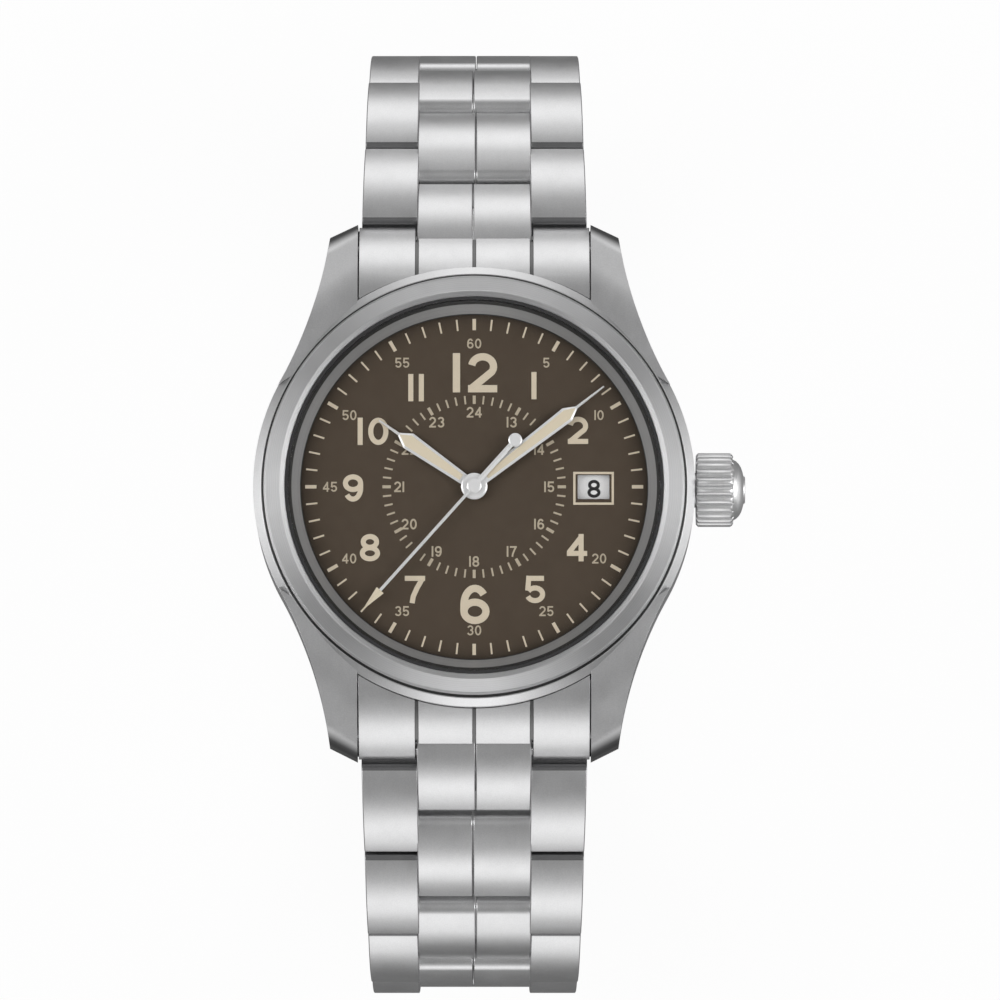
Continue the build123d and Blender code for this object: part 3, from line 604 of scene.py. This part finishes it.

# The dial is a brass disc lacquered a dark brown, matt and slightly mottled, with a fine
# tooth to it. Painted shade darkens the brown at the dial's rim.
rim_radius = 14.95 * mm
lacquer = Finish("dial_brown_lacquer")
tooth, cloud = lacquer.grain(0.09 * mm, detail=4.0), lacquer.grain(1.1 * mm)
brown = lacquer.mix(
    tooth * 0.5 + cloud * 0.5, (0.060, 0.043, 0.029, 1), (0.088, 0.067, 0.048, 1)
)
rim_painted_shade = (lacquer.radius() / rim_radius) ** 30
brown_lacquer = lacquer.surface(
    base_color=lacquer.mix(rim_painted_shade * 0.8, brown, (0.012, 0.009, 0.006, 1)),
    roughness=tooth * 0.2 + 0.6, specular_ior_level=0.2,
    normal=lacquer.bump(tooth, 0.004 * mm),
)
eased("dial", 0.04 * mm, brown_lacquer, "dial", segments=1)


# The dial's print is cream lacquer, laid on thickly: a fine track of 60 strokes at the rim,
# a second one further in, and a frame round the date window. Every fifth stroke is wider.
print_height = 0.035 * mm
print_sink = 0.02 * mm


def cream_lacquer(name, colour, grain):
    finish = Finish(name)
    speck = finish.grain(grain)
    patch = finish.grain(12 * grain, detail=2.0)
    return finish.surface(
        base_color=finish.shades(speck * 0.6 + patch * 0.4, colour, 0.86),
        roughness=speck * 0.2 + 0.45,
        normal=finish.bump(speck, 0.003 * mm),
    )


cream_print = cream_lacquer("cream_print", (0.68, 0.59, 0.45), 0.05 * mm)
track_print = cream_lacquer("track_print", (0.50, 0.43, 0.32), 0.05 * mm)


class Growing(Nodes):
    """A Geometry Nodes tree under construction; its inputs' names are given by kind."""

    def __init__(self, name, **titles):
        super().__init__(bpy.data.node_groups.new(name, "GeometryNodeTree"))
        face = self.tree.interface
        face.new_socket("Geometry", in_out="INPUT", socket_type="NodeSocketGeometry")
        for kind, names in titles.items():
            for title in names:
                face.new_socket(title, in_out="INPUT", socket_type="NodeSocket" + kind)
        face.new_socket("Geometry", in_out="OUTPUT", socket_type="NodeSocketGeometry")
        sockets = self.tree.nodes.new("NodeGroupInput").outputs
        self.given = {socket.name: Value(self, socket) for socket in sockets}

    def vector(self, x=0.0, y=0.0, z=0.0):
        return self.node("ShaderNodeCombineXYZ", {"X": x, "Y": y, "Z": z})

    def moved(self, geometry, **how):
        """Geometry with a Translation, Rotation or Scale."""
        return self.node("GeometryNodeTransform", {"Geometry": geometry, **how})

    def end(self, geometry, finish, mark="", mark_finish=None):
        """Makes real what was instanced and ends the tree; marked faces may differ in finish."""
        real = self.node("GeometryNodeRealizeInstances", {0: geometry})
        named = self.node("GeometryNodeSetMaterial", {"Geometry": real, "Material": finish})
        if mark:
            marked = self.node(
                "GeometryNodeInputNamedAttribute", {"Name": mark}, data_type="BOOLEAN"
            )
            coat = {"Geometry": named, "Selection": marked, "Material": mark_finish}
            named = self.node("GeometryNodeSetMaterial", coat)
        out = self.tree.nodes.new("NodeGroupOutput")
        self.tree.links.new(named.socket, out.inputs["Geometry"])
        return self.tree


def grown(name, tree, sizes):
    """A plain mesh made by a Geometry Nodes tree from these sizes."""
    piece = shown(name, bpy.data.meshes.new(name))
    growth = piece.modifiers.new(name, "NODES")
    growth.node_group = tree
    for socket in tree.interface.items_tree:
        if socket.in_out == "INPUT" and socket.name in sizes:
            growth[socket.identifier] = sizes[socket.name]
    return plain(piece)


def stroke_ring():
    """A ring of flat strokes that point to the middle, every fifth one wider."""
    ring = Growing(
        "stroke_ring", Int=["Strokes"], Material=["Finish"],
        Float=["Inner radius", "Outer radius", "Width", "Wide", "Floor", "Height"],
    )
    given = ring.given
    length = given["Outer radius"] - given["Inner radius"]
    middle = length * 0.5 + given["Inner radius"]
    count = ring.node("GeometryNodeInputIndex")
    turn = count * (2 * pi) / given["Strokes"]
    x, y = ring.sum("SINE", turn) * middle, ring.sum("COSINE", turn) * middle
    place = ring.vector(x, y, given["Height"] * 0.5 + given["Floor"])
    fifth = ring.sum("COMPARE", ring.sum("MODULO", count, 5.0), 0.0, 0.5)
    width = (given["Wide"] - given["Width"]) * fifth + given["Width"]
    strokes = {
        "Points": ring.node(
            "GeometryNodePoints", {"Count": given["Strokes"], "Position": place}
        ),
        "Instance": ring.node("GeometryNodeMeshCube", {"Size": (1, 1, 1)}),
        "Rotation": ring.vector(z=turn * -1.0),
        "Scale": ring.vector(width, length, given["Height"]),
    }
    return ring.end(ring.node("GeometryNodeInstanceOnPoints", strokes), given["Finish"])


track_tree = stroke_ring()
print_floor = dial_height - print_sink
for name, inner, outer, wide, finish in (
    ("rim_track", 13.56 * mm, 14.53 * mm, 0.30 * mm, cream_print),
    ("inner_track", 7.17 * mm, 7.89 * mm, 0.26 * mm, track_print),
):
    sizes = {
        "Strokes": 60, "Inner radius": inner, "Outer radius": outer, "Width": 0.15 * mm,
        "Wide": wide, "Floor": print_floor, "Height": print_sink + print_height,
        "Finish": finish,
    }
    settled(grown(name, track_tree, sizes), "head", "dial")


# The numbers are printed in the same cream: eleven large hours, a ring of small hours from
# 13 to 24 inside them, and small minutes at the rim. Every 1 is a plain bar, as a capital I.
def oval(middle, across, up, start, end, steps=14):
    """Points on an oval between two angles in degrees."""
    turns = [radians(start + (end - start) * step / steps) for step in range(steps + 1)]
    return [(middle[0] + across * cos(turn), middle[1] + up * sin(turn)) for turn in turns]


def digit_lines(digit, width, weight):
    """The strokes' middle lines in a plain digit, as shares of its height."""
    edge = weight / 2
    half, right, top = width / 2, width - edge, 1 - edge
    reach = half - edge
    six = [
        oval((half, 0.325), reach, 0.325 - edge, 0, 360, 24),
        [(edge, 0.325)] + oval((half, 0.50), reach, top - 0.50, 180, 38),
    ]
    return {
        "0": [oval((half, 0.5), reach, 0.5 - edge, 0, 360, 28)],
        "I": [[(half, 0), (half, 1)]],
        "2": [
            oval((half, top - 0.25), reach, 0.25, 172, -32) + [(edge * 1.15, edge * 1.25)],
            [(0, edge), (width, edge)],
        ],
        "3": [
            oval((half, 0.72), reach * 0.92, top - 0.72, 165, -90),
            oval((half, 0.30), reach, 0.30 - edge, 90, -165),
        ],
        "4": [
            [(0.70 * width, top * 0.98), (edge * 0.8, 0.32)],
            [(0, 0.29), (width, 0.29)],
            [(0.70 * width, 0), (0.70 * width, 1)],
        ],
        "5": [
            [(0.17 * width, top), (0.94 * width, top)],
            [(0.20 * width, 1), (0.14 * width, 0.46)],
            oval((half, 0.325), reach, 0.325 - edge, 150, -160, 18),
        ],
        "6": six,
        "7": [
            [(0, top), (width, top)],
            [(right, top), (0.60 * width, 0.55), (0.42 * width, 0.25), (0.36 * width, 0)],
        ],
        "8": [
            oval((half, 0.295), reach, 0.295 - edge, 0, 360, 24),
            oval((half, 0.71), reach * 0.88, top - 0.71, 0, 360, 24),
        ],
        "9": [[(width - x, 1 - y) for x, y in line] for line in six],
    }[digit]


def stroke_block(line, width, low, high):
    """Points and faces of a flat stroke of even width along a line."""
    closed = max(abs(a - b) for a, b in zip(line[0], line[-1])) < 0.001
    if closed:
        line = line[:-1]
    count = len(line)
    points = []
    for spot in range(count):
        before = line[spot - 1] if closed or spot else line[0]
        after = line[(spot + 1) % count] if closed or spot < count - 1 else line[-1]
        along = Vector((after[0] - before[0], after[1] - before[1])).normalized()
        for way, levels in ((0.5, (low, high)), (-0.5, (high, low))):
            x, y = line[spot][0] - way * width * along.y, line[spot][1] + way * width * along.x
            points += [(x, y, z) for z in levels]
    return points, looped(count, 4) if closed else joined(count, 4)


def numbers(name, body, slot, marks, finish, levels, width, weight, gap=0.0):
    """Draws plain numbers as one mesh; each mark is (text, middle x, middle y, height).

    The strokes of a digit differ a hair in height, so that none shares an edge with another.
    """
    points, faces = [], []
    (low, high), hair = levels, print_height / 50
    for text, x, y, height in marks:
        widths = [weight if digit == "I" else width for digit in text]
        left = x - height * (sum(widths) + gap * (len(text) - 1)) / 2
        for digit, digit_width in zip(text, widths):
            for order, line in enumerate(digit_lines(digit, digit_width, weight)):
                apart = order * hair
                block, block_faces = stroke_block(line, weight, low - apart, high + apart)
                faces += shifted(block_faces, len(points))
                points += [(left + height * u, y + height * (v - 0.5), z) for u, v, z in block]
            left += height * (digit_width + gap)
    settled(skin(name, points, faces, [finish]), body, slot)


def from_photo(x, y):
    """A place on the dial from its pixel in the photograph."""
    left, top = dial_middle_pixel
    return (x - left) / pixels_per_metre, (top - y) / pixels_per_metre


hour_height = 2.36 * mm
tall_height = 3.4 * mm
hour_places = {
    "I2": (475, 372), "I": (534, 385), "2": (578, 430), "4": (577, 548), "5": (535, 590),
    "6": (475, 605), "7": (415, 590), "8": (370, 548), "9": (353, 488), "I0": (373, 431),
    "II": (416, 387),
}
hours = [
    (text, *from_photo(*place), tall_height if text in ("I2", "6") else hour_height)
    for text, place in hour_places.items()
]
print_levels = print_floor, dial_height + print_height
numbers(
    "hour_numbers", "head", "dial", hours, cream_print, print_levels,
    width=0.74, weight=0.185, gap=0.20,
)


def small_marks(turns, radius, height):
    """Numbers in a ring, from how far round each stands as a share of the ring."""
    return [
        (text.replace("1", "I"), radius * sin(2 * pi * turn), radius * cos(2 * pi * turn), height)
        for text, turn in turns.items()
    ]


afternoon = small_marks({str(hour): hour / 12 for hour in range(13, 25)}, 6.45 * mm, 0.92 * mm)
minutes = small_marks(
    {str(minute): minute / 60 for minute in range(5, 65, 5) if minute != 15}, 12.4 * mm, 0.86 * mm
)
for name, marks, weight in (("afternoon", afternoon, 0.16), ("minute", minutes, 0.15)):
    numbers(
        name + "_numbers", "head", "dial", marks, track_print, print_levels,
        width=0.64, weight=weight, gap=0.14,
    )


# The date shows through a window at 3 o'clock with a thin cream line printed round it.
# Under it turns a white ring, which a thin rim widens inwards, with a day printed in black.
window_corner = from_photo(573.2, 504.9), from_photo(613.9, 471.8)
line_width = 0.2 * mm
line_inner = [
    [part + way * line_width for part in corner] for corner, way in zip(window_corner, (1, -1))
]
line_points = []
for left, low in ((0, 0), (1, 0), (1, 1), (0, 1)):
    for corners, levels in ((window_corner, print_levels), (line_inner, print_levels[::-1])):
        line_points += [(corners[left][0], corners[low][1], z) for z in levels]
window_line = skin("date_window_line", line_points, looped(4, 4), [cream_print])
settled(window_line, "head", "dial")

paper = Finish("date_disc_white")
fibre = paper.grain(0.05 * mm)
date_white = paper.surface(
    base_color=paper.mix(fibre, (0.92, 0.92, 0.92, 1), (1.0, 1.0, 1.0, 1)),
    roughness=fibre * 0.2 + 0.5, normal=paper.bump(fibre, 0.002 * mm),
)
dressed(date_white, "date_disc")
date_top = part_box("date_disc")[1][2]
rim_inner, rim_outer, rim_depth, rim_sink = 8.75 * mm, 9.6 * mm, 0.2 * mm, 0.01 * mm
rim_profile = [
    (rim_inner, date_top - rim_depth), (rim_outer, date_top - rim_depth),
    (rim_outer, date_top - rim_sink), (rim_inner, date_top - rim_sink),
]
date_rim = skin("date_inner_rim", *lathe(rim_profile, sides=90), [date_white])
settled(date_rim, "date", "date_white")

day_print = soft_black("day_print", 0.04 * mm)
day = [("8", *from_photo(594, 488), 1.55 * mm)]
day_levels = date_top - rim_sink, date_top + print_height
numbers("day_number", "date", "date_white", day, day_print, day_levels, width=0.72, weight=0.17)


# The movement is a small quartz one: brass plates and wheels, a steel magnet and stator, a
# copper coil and a plated cell, held in the case by a pale plastic ring. None of it shows.
def brushed_metal(name, colour, roughness, line=0.05 * mm, stretch=(1, 0.03, 1)):
    """Metal with straight brush lines, along Y unless stretched otherwise."""
    finish = Finish(name)
    lines = finish.grain(line, stretch)
    cloud = finish.grain(30 * line, detail=2.0)
    return finish.surface(
        base_color=finish.shades(lines * 0.7 + cloud * 0.3, colour, 0.8),
        metallic=1.0,
        roughness=lines * 0.14 + (roughness - 0.07),
        normal=finish.bump(lines, 0.001 * mm),
    )


movement_brass = brushed_metal("movement_brass", (0.70, 0.56, 0.30), 0.34)
wheel_brass = turned_steel("wheel_brass", (0.74, 0.58, 0.30), 0.04 * mm, 0.3)
plain_steel = brushed_metal("drawn_steel", (0.56, 0.56, 0.57), 0.32, stretch=(0.03, 1, 1))
cell_steel = turned_steel("cell_plated_steel", (0.66, 0.66, 0.67), 0.05 * mm, 0.25)
coil_copper = brushed_metal(
    "coil_copper_wire", (0.62, 0.28, 0.14), 0.35, 0.04 * mm, (1, 0.05, 0.05)
)
dressed(movement_brass, "main_plate", "train_bridge")
dressed(wheel_brass, "seconds_wheel", "intermediate_wheel", "minute_wheel", "hour_wheel")
dressed(wheel_brass, "cannon_pinion")
dressed(plain_steel, "stator", "rotor")
dressed(cell_steel, "battery")
dressed(coil_copper, "coil")
plastic = Finish("holder_plastic")
speck = plastic.grain(0.1 * mm)
holder_plastic = plastic.surface(
    base_color=plastic.shades(speck, (0.72, 0.70, 0.64), 0.88),
    roughness=speck * 0.15 + 0.4, normal=plastic.bump(speck, 0.004 * mm),
)
dressed(holder_plastic, "movement_holder")

# The hands are stamped steel, polished, with flanks that slope up to an inset of cream
# luminous paint. The seconds hand is a thin rod with a painted arrowhead.
polish = Finish("hand_polished_steel")
hairs, cloud = polish.grain(0.03 * mm, detail=2.0), polish.grain(0.6 * mm)
hand_steel = polish.surface(
    base_color=polish.shades(hairs * 0.5 + cloud * 0.5, (0.92, 0.92, 0.92), 0.9),
    metallic=0.35, roughness=hairs * 0.08 + 0.26, normal=polish.bump(hairs, 0.0003 * mm),
)
hand_cream = cream_lacquer("hand_cream_lume", (0.74, 0.65, 0.49), 0.07 * mm)


def mirrored(left):
    """A closed outline from its left half, listed from near to far."""
    return left + [(-x, y) for x, y in reversed(left)]


def add_disc(points, faces, marks, rings, sides, middle=0.0):
    """Adds a turned disc with a closed top and floor; rings are (radius, z)."""
    disc = shifted(joined(len(rings), sides), len(points))
    faces += disc
    marks += [0] * len(disc)
    turns = [2 * pi * side / sides for side in range(sides)]
    points += [(r * cos(turn), middle + r * sin(turn), z) for r, z in rings for turn in turns]


def hand(node, body, clock_angle, points, faces, marks):
    """Turns a hand to the time, raises it to its height and puts it in place."""
    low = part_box(node)[0][2]
    turn = radians(-clock_angle)
    placed = [
        (x * cos(turn) - y * sin(turn), x * sin(turn) + y * cos(turn), low + z)
        for x, y, z in points
    ]
    shape = skin(node + "_shaped", placed, faces, [hand_steel, hand_cream], marks)
    settled(shape, body, "hand_steel", node)


def leaf_hand(node, body, clock_angle, root, width, needle, shoulder, neck, length, border):
    """A leaf with sloping flanks round a flat luminous inset, on a round hub."""
    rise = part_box(node)[1][2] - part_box(node)[0][2]
    tip, hub_radius = 0.6 * needle, 1.13 * mm
    start = hub_radius + border
    near = root + (width - root) * start / shoulder - 2 * border
    outline = mirrored(
        [(-root / 2, 0), (-width / 2, shoulder), (-needle / 2, neck), (-tip / 2, length)]
    )
    window = mirrored([
        (-near / 2, start), (-width / 2 + border, shoulder), (-needle / 8, neck - border * 0.6),
        (-tip / 4, length * 0.995),
    ])
    levels = (outline, 0), (outline, 0.35 * rise), (window, 0.98 * rise)
    points = [(x, y, z) for line, z in levels for x, y in line]
    inset, needle_top = (0, 1, 2, 5, 6, 7), (2, 3, 4, 5)
    faces = joined(3, 8)[:-1] + shifted([inset, needle_top], 16)
    marks = [0] * 17 + [1, 0]
    profile = [
        (hub_radius, 0), (hub_radius, 0.55 * rise), (0.88 * hub_radius, 0.95 * rise),
        (0.5 * hub_radius, rise),
    ]
    add_disc(points, faces, marks, profile, sides=48)
    hand(node, body, clock_angle, points, faces, marks)


leaf_hand(
    "hour_hand", "hour", clock_angle=304.9, root=0.85 * mm, width=1.5 * mm, needle=0.26 * mm,
    shoulder=6.9 * mm, neck=7.9 * mm, length=10.0 * mm, border=0.22 * mm,
)
leaf_hand(
    "minute_hand", "minute", clock_angle=52.3, root=0.85 * mm, width=1.35 * mm, needle=0.24 * mm,
    shoulder=10.1 * mm, neck=11.1 * mm, length=14.1 * mm, border=0.22 * mm,
)


def seconds_hand():
    """Three ridged bars, for the rod, the tail and the arrowhead, with discs at hub and tail."""
    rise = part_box("seconds_hand")[1][2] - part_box("seconds_hand")[0][2]
    length, arrow, tail = 14.4 * mm, 2.3 * mm, 5.3 * mm
    rod, tail_width, arrow_width = 0.26 * mm, 0.44 * mm, 0.8 * mm
    neck, hub_radius, tail_radius = length - arrow, 0.64 * mm, 0.59 * mm
    clock_angle = 221.8
    points, faces, marks = [], [], []
    for near_width, far_width, near, far, mark in (
        (rod, rod, 0, neck, 0), (tail_width, tail_width, -tail, 0, 0),
        (arrow_width, 0, neck, length, 1),
    ):
        outline = mirrored([(-near_width / 2, near), (-far_width / 2, far)])
        slopes = [[4, 5, 9, 8], [6, 7, 8, 9], [7, 4, 8], [5, 6, 9]]
        bar = shifted(joined(2, 4)[:-1] + slopes, len(points))
        faces += bar
        marks += [mark] * len(bar)
        points += [(x, y, z) for z in (0, 0.3 * rise) for x, y in outline]
        points += [(0, y, 0.9 * rise) for y in (near, far)]
    for middle, radius in ((0, hub_radius), (-tail, tail_radius)):
        profile = [(radius, 0), (radius, 0.6 * rise), (0.8 * radius, rise)]
        add_disc(points, faces, marks, profile, sides=40, middle=middle)
    hand("seconds_hand", "seconds", clock_angle, points, faces, marks)


seconds_hand()


# The crown is turned from the case's steel, with 24 rounded flutes round its grip and a
# domed cap on its end. It turns on a stem that runs in through a pressed tube and seal.
crown_steel = blasted_steel("crown_steel", (0.86, 0.86, 0.865), 0.08 * mm, 0.42)
crown_flutes, crown_flute_depth, crown_radius = 24, 0.32 * mm, 3.18 * mm
crown_start, crown_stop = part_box("crown")[0][0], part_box("crown")[1][0]
crown_axis = (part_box("crown")[0][2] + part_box("crown")[1][2]) / 2
crown_bore, crown_bore_depth = 1.8, 2.14


def crown():
    """A fluted grip with rounded ends, a domed cap and the bore for the tube, closed.

    The bore, the grip and the cap are given in millimetres, as (outwards, radius) points.
    """
    steps = 8 * crown_flutes
    grip = [(-0.2, 2.96), (-0.14, 3.06), (0, 3.18), (2.72, 3.18), (2.9, 3.08), (3.0, 2.9)]
    cap = [(3.0, 2.62), (3.25, 2.5), (3.5, 2.25), (3.7, 1.92), (3.83, 1.5), (3.9, 1.2)]
    rings = [(crown_bore_depth, crown_bore), (-0.2, crown_bore)] + grip + cap
    rings = [(crown_start + x * mm, radius * mm) for x, radius in rings]
    rings += [(crown_stop - 0.05 * mm, 1.16 * mm), (crown_stop, 1.1 * mm)]
    first_grip, after_grip = 2, 2 + len(grip)
    points = []
    for number, (x, limit) in enumerate(rings):
        for step in range(steps):
            lobe = abs(sin(pi * step * crown_flutes / steps)) ** 0.5
            fluted = crown_radius - crown_flute_depth * (1 - lobe)
            radius = min(limit, fluted) if first_grip <= number < after_grip else limit
            turn = 2 * pi * step / steps
            points.append((x, radius * cos(turn), crown_axis + radius * sin(turn)))
    return skin("crown_shaped", points, joined(len(rings), steps))


crown_shape = crown()
crown_shape.data.shade_smooth()
crown_shape.data.set_sharp_from_angle(angle=radians(40))
fitted(crown_shape, "crown", crown_steel, "case_steel", "crown")
dressed(plain_steel, "crown_tube", "stem", "spring_bars", "clasp_spring_bar", "cover_hinge_pin")
dressed(plain_steel, "blade_hinge_pin", "end_pin")
dressed(seal_rubber, "crown_seal")


# The end links are solid blocks between the lugs, cut to the case's curve and blasted like
# it. Grooves, painted dark inside as shade, mark their middle part off from their sides, in line
# with the links, and a thin dark strip stands as painted shade in the slot between each of their
# sides and the lug.
link_grain = 0.11 * mm
link_colour = (0.70, 0.70, 0.705)
centre_width = 9.9 * mm
link_steel = blasted_steel("link_satin_steel", link_colour, link_grain, 0.36)
end_link_steel = blasted_steel(
    "end_link_steel", link_colour, link_grain, 0.36,
    grooves=(-centre_width / 2, 0.0, centre_width / 2), groove_width=0.31 * mm,
)
# The strips in the slots are dark as painted shade.
gap_shade = soft_black("gap_shade", 0.1 * mm)
strip_inner, strip_outer = 9.95 * mm, 10.04 * mm
strip_near, strip_far = 15.3 * mm, 22.8 * mm
strip_low, strip_high = 1.6 * mm, 2.1 * mm
for node, way in (("end_link_12", 1), ("end_link_6", -1)):
    eased(node, 0.16 * mm, end_link_steel, "link_steel")
    points, faces = [], []
    for side in (1, -1):
        faces += shifted(joined(2, 4), len(points))
        points += [
            (side * x, way * y, z) for x in (strip_inner, strip_outer)
            for y, z in (
                (strip_near, strip_low), (strip_far, strip_low),
                (strip_far, strip_high), (strip_near, strip_high),
            )
        ]
    settled(skin(node + "_gap_strips", points, faces, [gap_shade]), "head", "seal")


# Each bracelet row is a pair of centre links, split by a hairline, and an outer link on each
# side, on one cross pin. Their tops are crowned and their ends rolled down, and the outer
# links' near ends are painted darker as the shade that the row before casts on them.
head_width = 19.6 * mm
clasp_width = 16.2 * mm
row_pitch = 9.1 * mm
link_edge_height = 1.2 * mm
link_crown_height = 1.95 * mm
end_round = 0.62 * mm
corner_steps = 6
bracelet_run = 6 * row_pitch + 11.5 * mm


def crowned_side(near, far, near_round, far_round):
    """A link's side view as (along, up) points: crowned on top, rolled down at both ends."""
    points = []
    edge = link_edge_height

    def corner(middle, radius, start, end):
        for step in range(corner_steps + 1):
            turn = radians(start + (end - start) * step / corner_steps)
            points.append((middle[0] + radius * cos(turn), middle[1] + radius * sin(turn)))

    under = 0.35 * mm
    corner((near + under, under - edge), under, 270, 180)
    corner((near + near_round, edge - near_round), near_round, 180, 112)
    span = (far - far_round) - (near + near_round)
    for step in range(1, 10):
        share = step / 10
        lift = (link_crown_height - edge) * (1 - (2 * share - 1) ** 2)
        points.append((near + near_round + span * share, edge + lift))
    corner((far - far_round, edge - far_round), far_round, 68, 0)
    corner((far - under, under - edge), under, 0, -90)
    return points


def link_block(name, outline, rolled=False):
    """The side view given a width of 1 along X; its rolled near end may be marked."""
    mesh = bpy.data.meshes.new(name)
    points = [(x, along, up) for x in (-0.5, 0.5) for along, up in outline]
    mesh.from_pydata(points, [], joined(2, len(outline)))
    marks = outward(mesh).attributes.new("rolled_end", "BOOLEAN", "FACE")
    for number, mark in enumerate(marks.data):
        mark.value = rolled and corner_steps <= number <= 2 * corner_steps
    return shown(name, mesh)


def bracelet_row():
    """One row: two centre links and two outer ones, drawn in along it and laid at its slope."""
    row = Growing(
        "bracelet_row", Object=["Centre link", "Outer link"], Vector=["Pivot"],
        Float=["Centre width", "Row width", "Taper", "Split", "Split shift", "Slope", "Side"],
        Material=["Finish", "End finish"],
    )
    given = row.given
    half_split, inner = given["Split"] * 0.5, given["Centre width"] * 0.5
    join = row.tree.nodes.new("GeometryNodeJoinGeometry")
    for side in (-1.0, 1.0):
        gap = half_split * side + given["Split shift"]
        rim_painted_shade, outside = inner * side, given["Row width"] * (0.5 * side)
        for link, near, far in (("Centre link", gap, rim_painted_shade), ("Outer link", rim_painted_shade, outside)):
            shape = row.node("GeometryNodeObjectInfo", {"Object": given[link]}, "Geometry")
            middle, width = row.vector(x=(far + near) * 0.5), abs(far - near)
            laid = row.moved(shape, Translation=middle, Scale=row.vector(width, 1.0, 1.0))
            row.tree.links.new(laid.socket, join.inputs[0])
    x, y, _ = row.parts(row.node("GeometryNodeInputPosition"))
    drawn_in = {
        "Geometry": Value(row, join.outputs[0]), "Offset": row.vector(x=y * given["Taper"] * x),
    }
    tapered = row.node("GeometryNodeSetPosition", drawn_in)
    sloped = row.moved(tapered, Rotation=row.vector(x=given["Slope"] * -1.0))
    placed = row.moved(sloped, Translation=given["Pivot"])
    turned_round = row.moved(placed, Rotation=row.vector(z=given["Side"]))
    return row.end(turned_round, given["Finish"], "rolled_end", given["End finish"])


centre_side = crowned_side(-1.2 * mm, 7.35 * mm, 1.15 * mm, end_round)
outer_side = crowned_side(2.75 * mm, 11.5 * mm, end_round, end_round)
centre_link = link_block("centre_link_shape", centre_side)
outer_link = link_block("outer_link_shape", outer_side, True)
# The outer links' rolled near ends get this darker steel as painted shade.
rolled_end_shade = blasted_steel("rolled_end_steel", (0.26, 0.26, 0.265), link_grain, 0.36)
row_tree = bracelet_row()
row_slopes = [35, 42, 64, 86, 112, 138, 160]
first_pivot = Vector((0, 20.8 * mm, dial_height - 4.5 * mm))
for side, half_turn in (("12", 0.0), ("6", pi)):
    pivot = first_pivot.copy()
    for number, slope in enumerate(row_slopes, 1):
        run = (number - 1) * row_pitch
        here_width = head_width + (clasp_width - head_width) * run / bracelet_run
        taper = (clasp_width - head_width) / bracelet_run / here_width
        shift = (0.12 if number % 2 == 0 else -0.12) * mm
        row = grown(
            f"row_{side}_{number}_shaped",
            row_tree,
            {
                "Centre link": centre_link, "Outer link": outer_link,
                "Centre width": centre_width, "Row width": here_width, "Taper": taper,
                "Split": 0.07 * mm, "Split shift": shift, "Slope": radians(slope),
                "Side": half_turn, "Pivot": tuple(pivot), "Finish": link_steel,
                "End finish": rolled_end_shade,
            },
        )
        ease(row, 0.1 * mm, sharp=40)
        settled(row, f"row_{side}_{number}", "link_steel", f"link_{side}_{number}")
        pivot += Vector((0, row_pitch * cos(radians(slope)), -row_pitch * sin(radians(slope))))
for shape in (centre_link, outer_link):
    bpy.data.objects.remove(shape)


# The clasp is folded from steel plate: a channel-shaped cover, two leaves that fold flat
# inside it and a push button in each side. The cover is brushed along the bracelet.
along_brush = (1, 0.04, 1)
clasp_colour, leaf_colour = (0.62, 0.62, 0.625), (0.60, 0.60, 0.605)
clasp_steel = brushed_metal("clasp_brushed_steel", clasp_colour, 0.32, 0.06 * mm, along_brush)
leaf_steel = brushed_metal("leaf_brushed_steel", leaf_colour, 0.30, 0.05 * mm, along_brush)
eased("clasp_cover", 0.15 * mm, clasp_steel, "link_steel", "cover")
for node in ("upper_blade", "lower_blade"):
    eased(node, 0.1 * mm, leaf_steel, "link_steel", node)
for side in ("right", "left"):
    eased(f"push_button_{side}", 0.2 * mm, crown_steel, "link_steel", f"button_{side}")
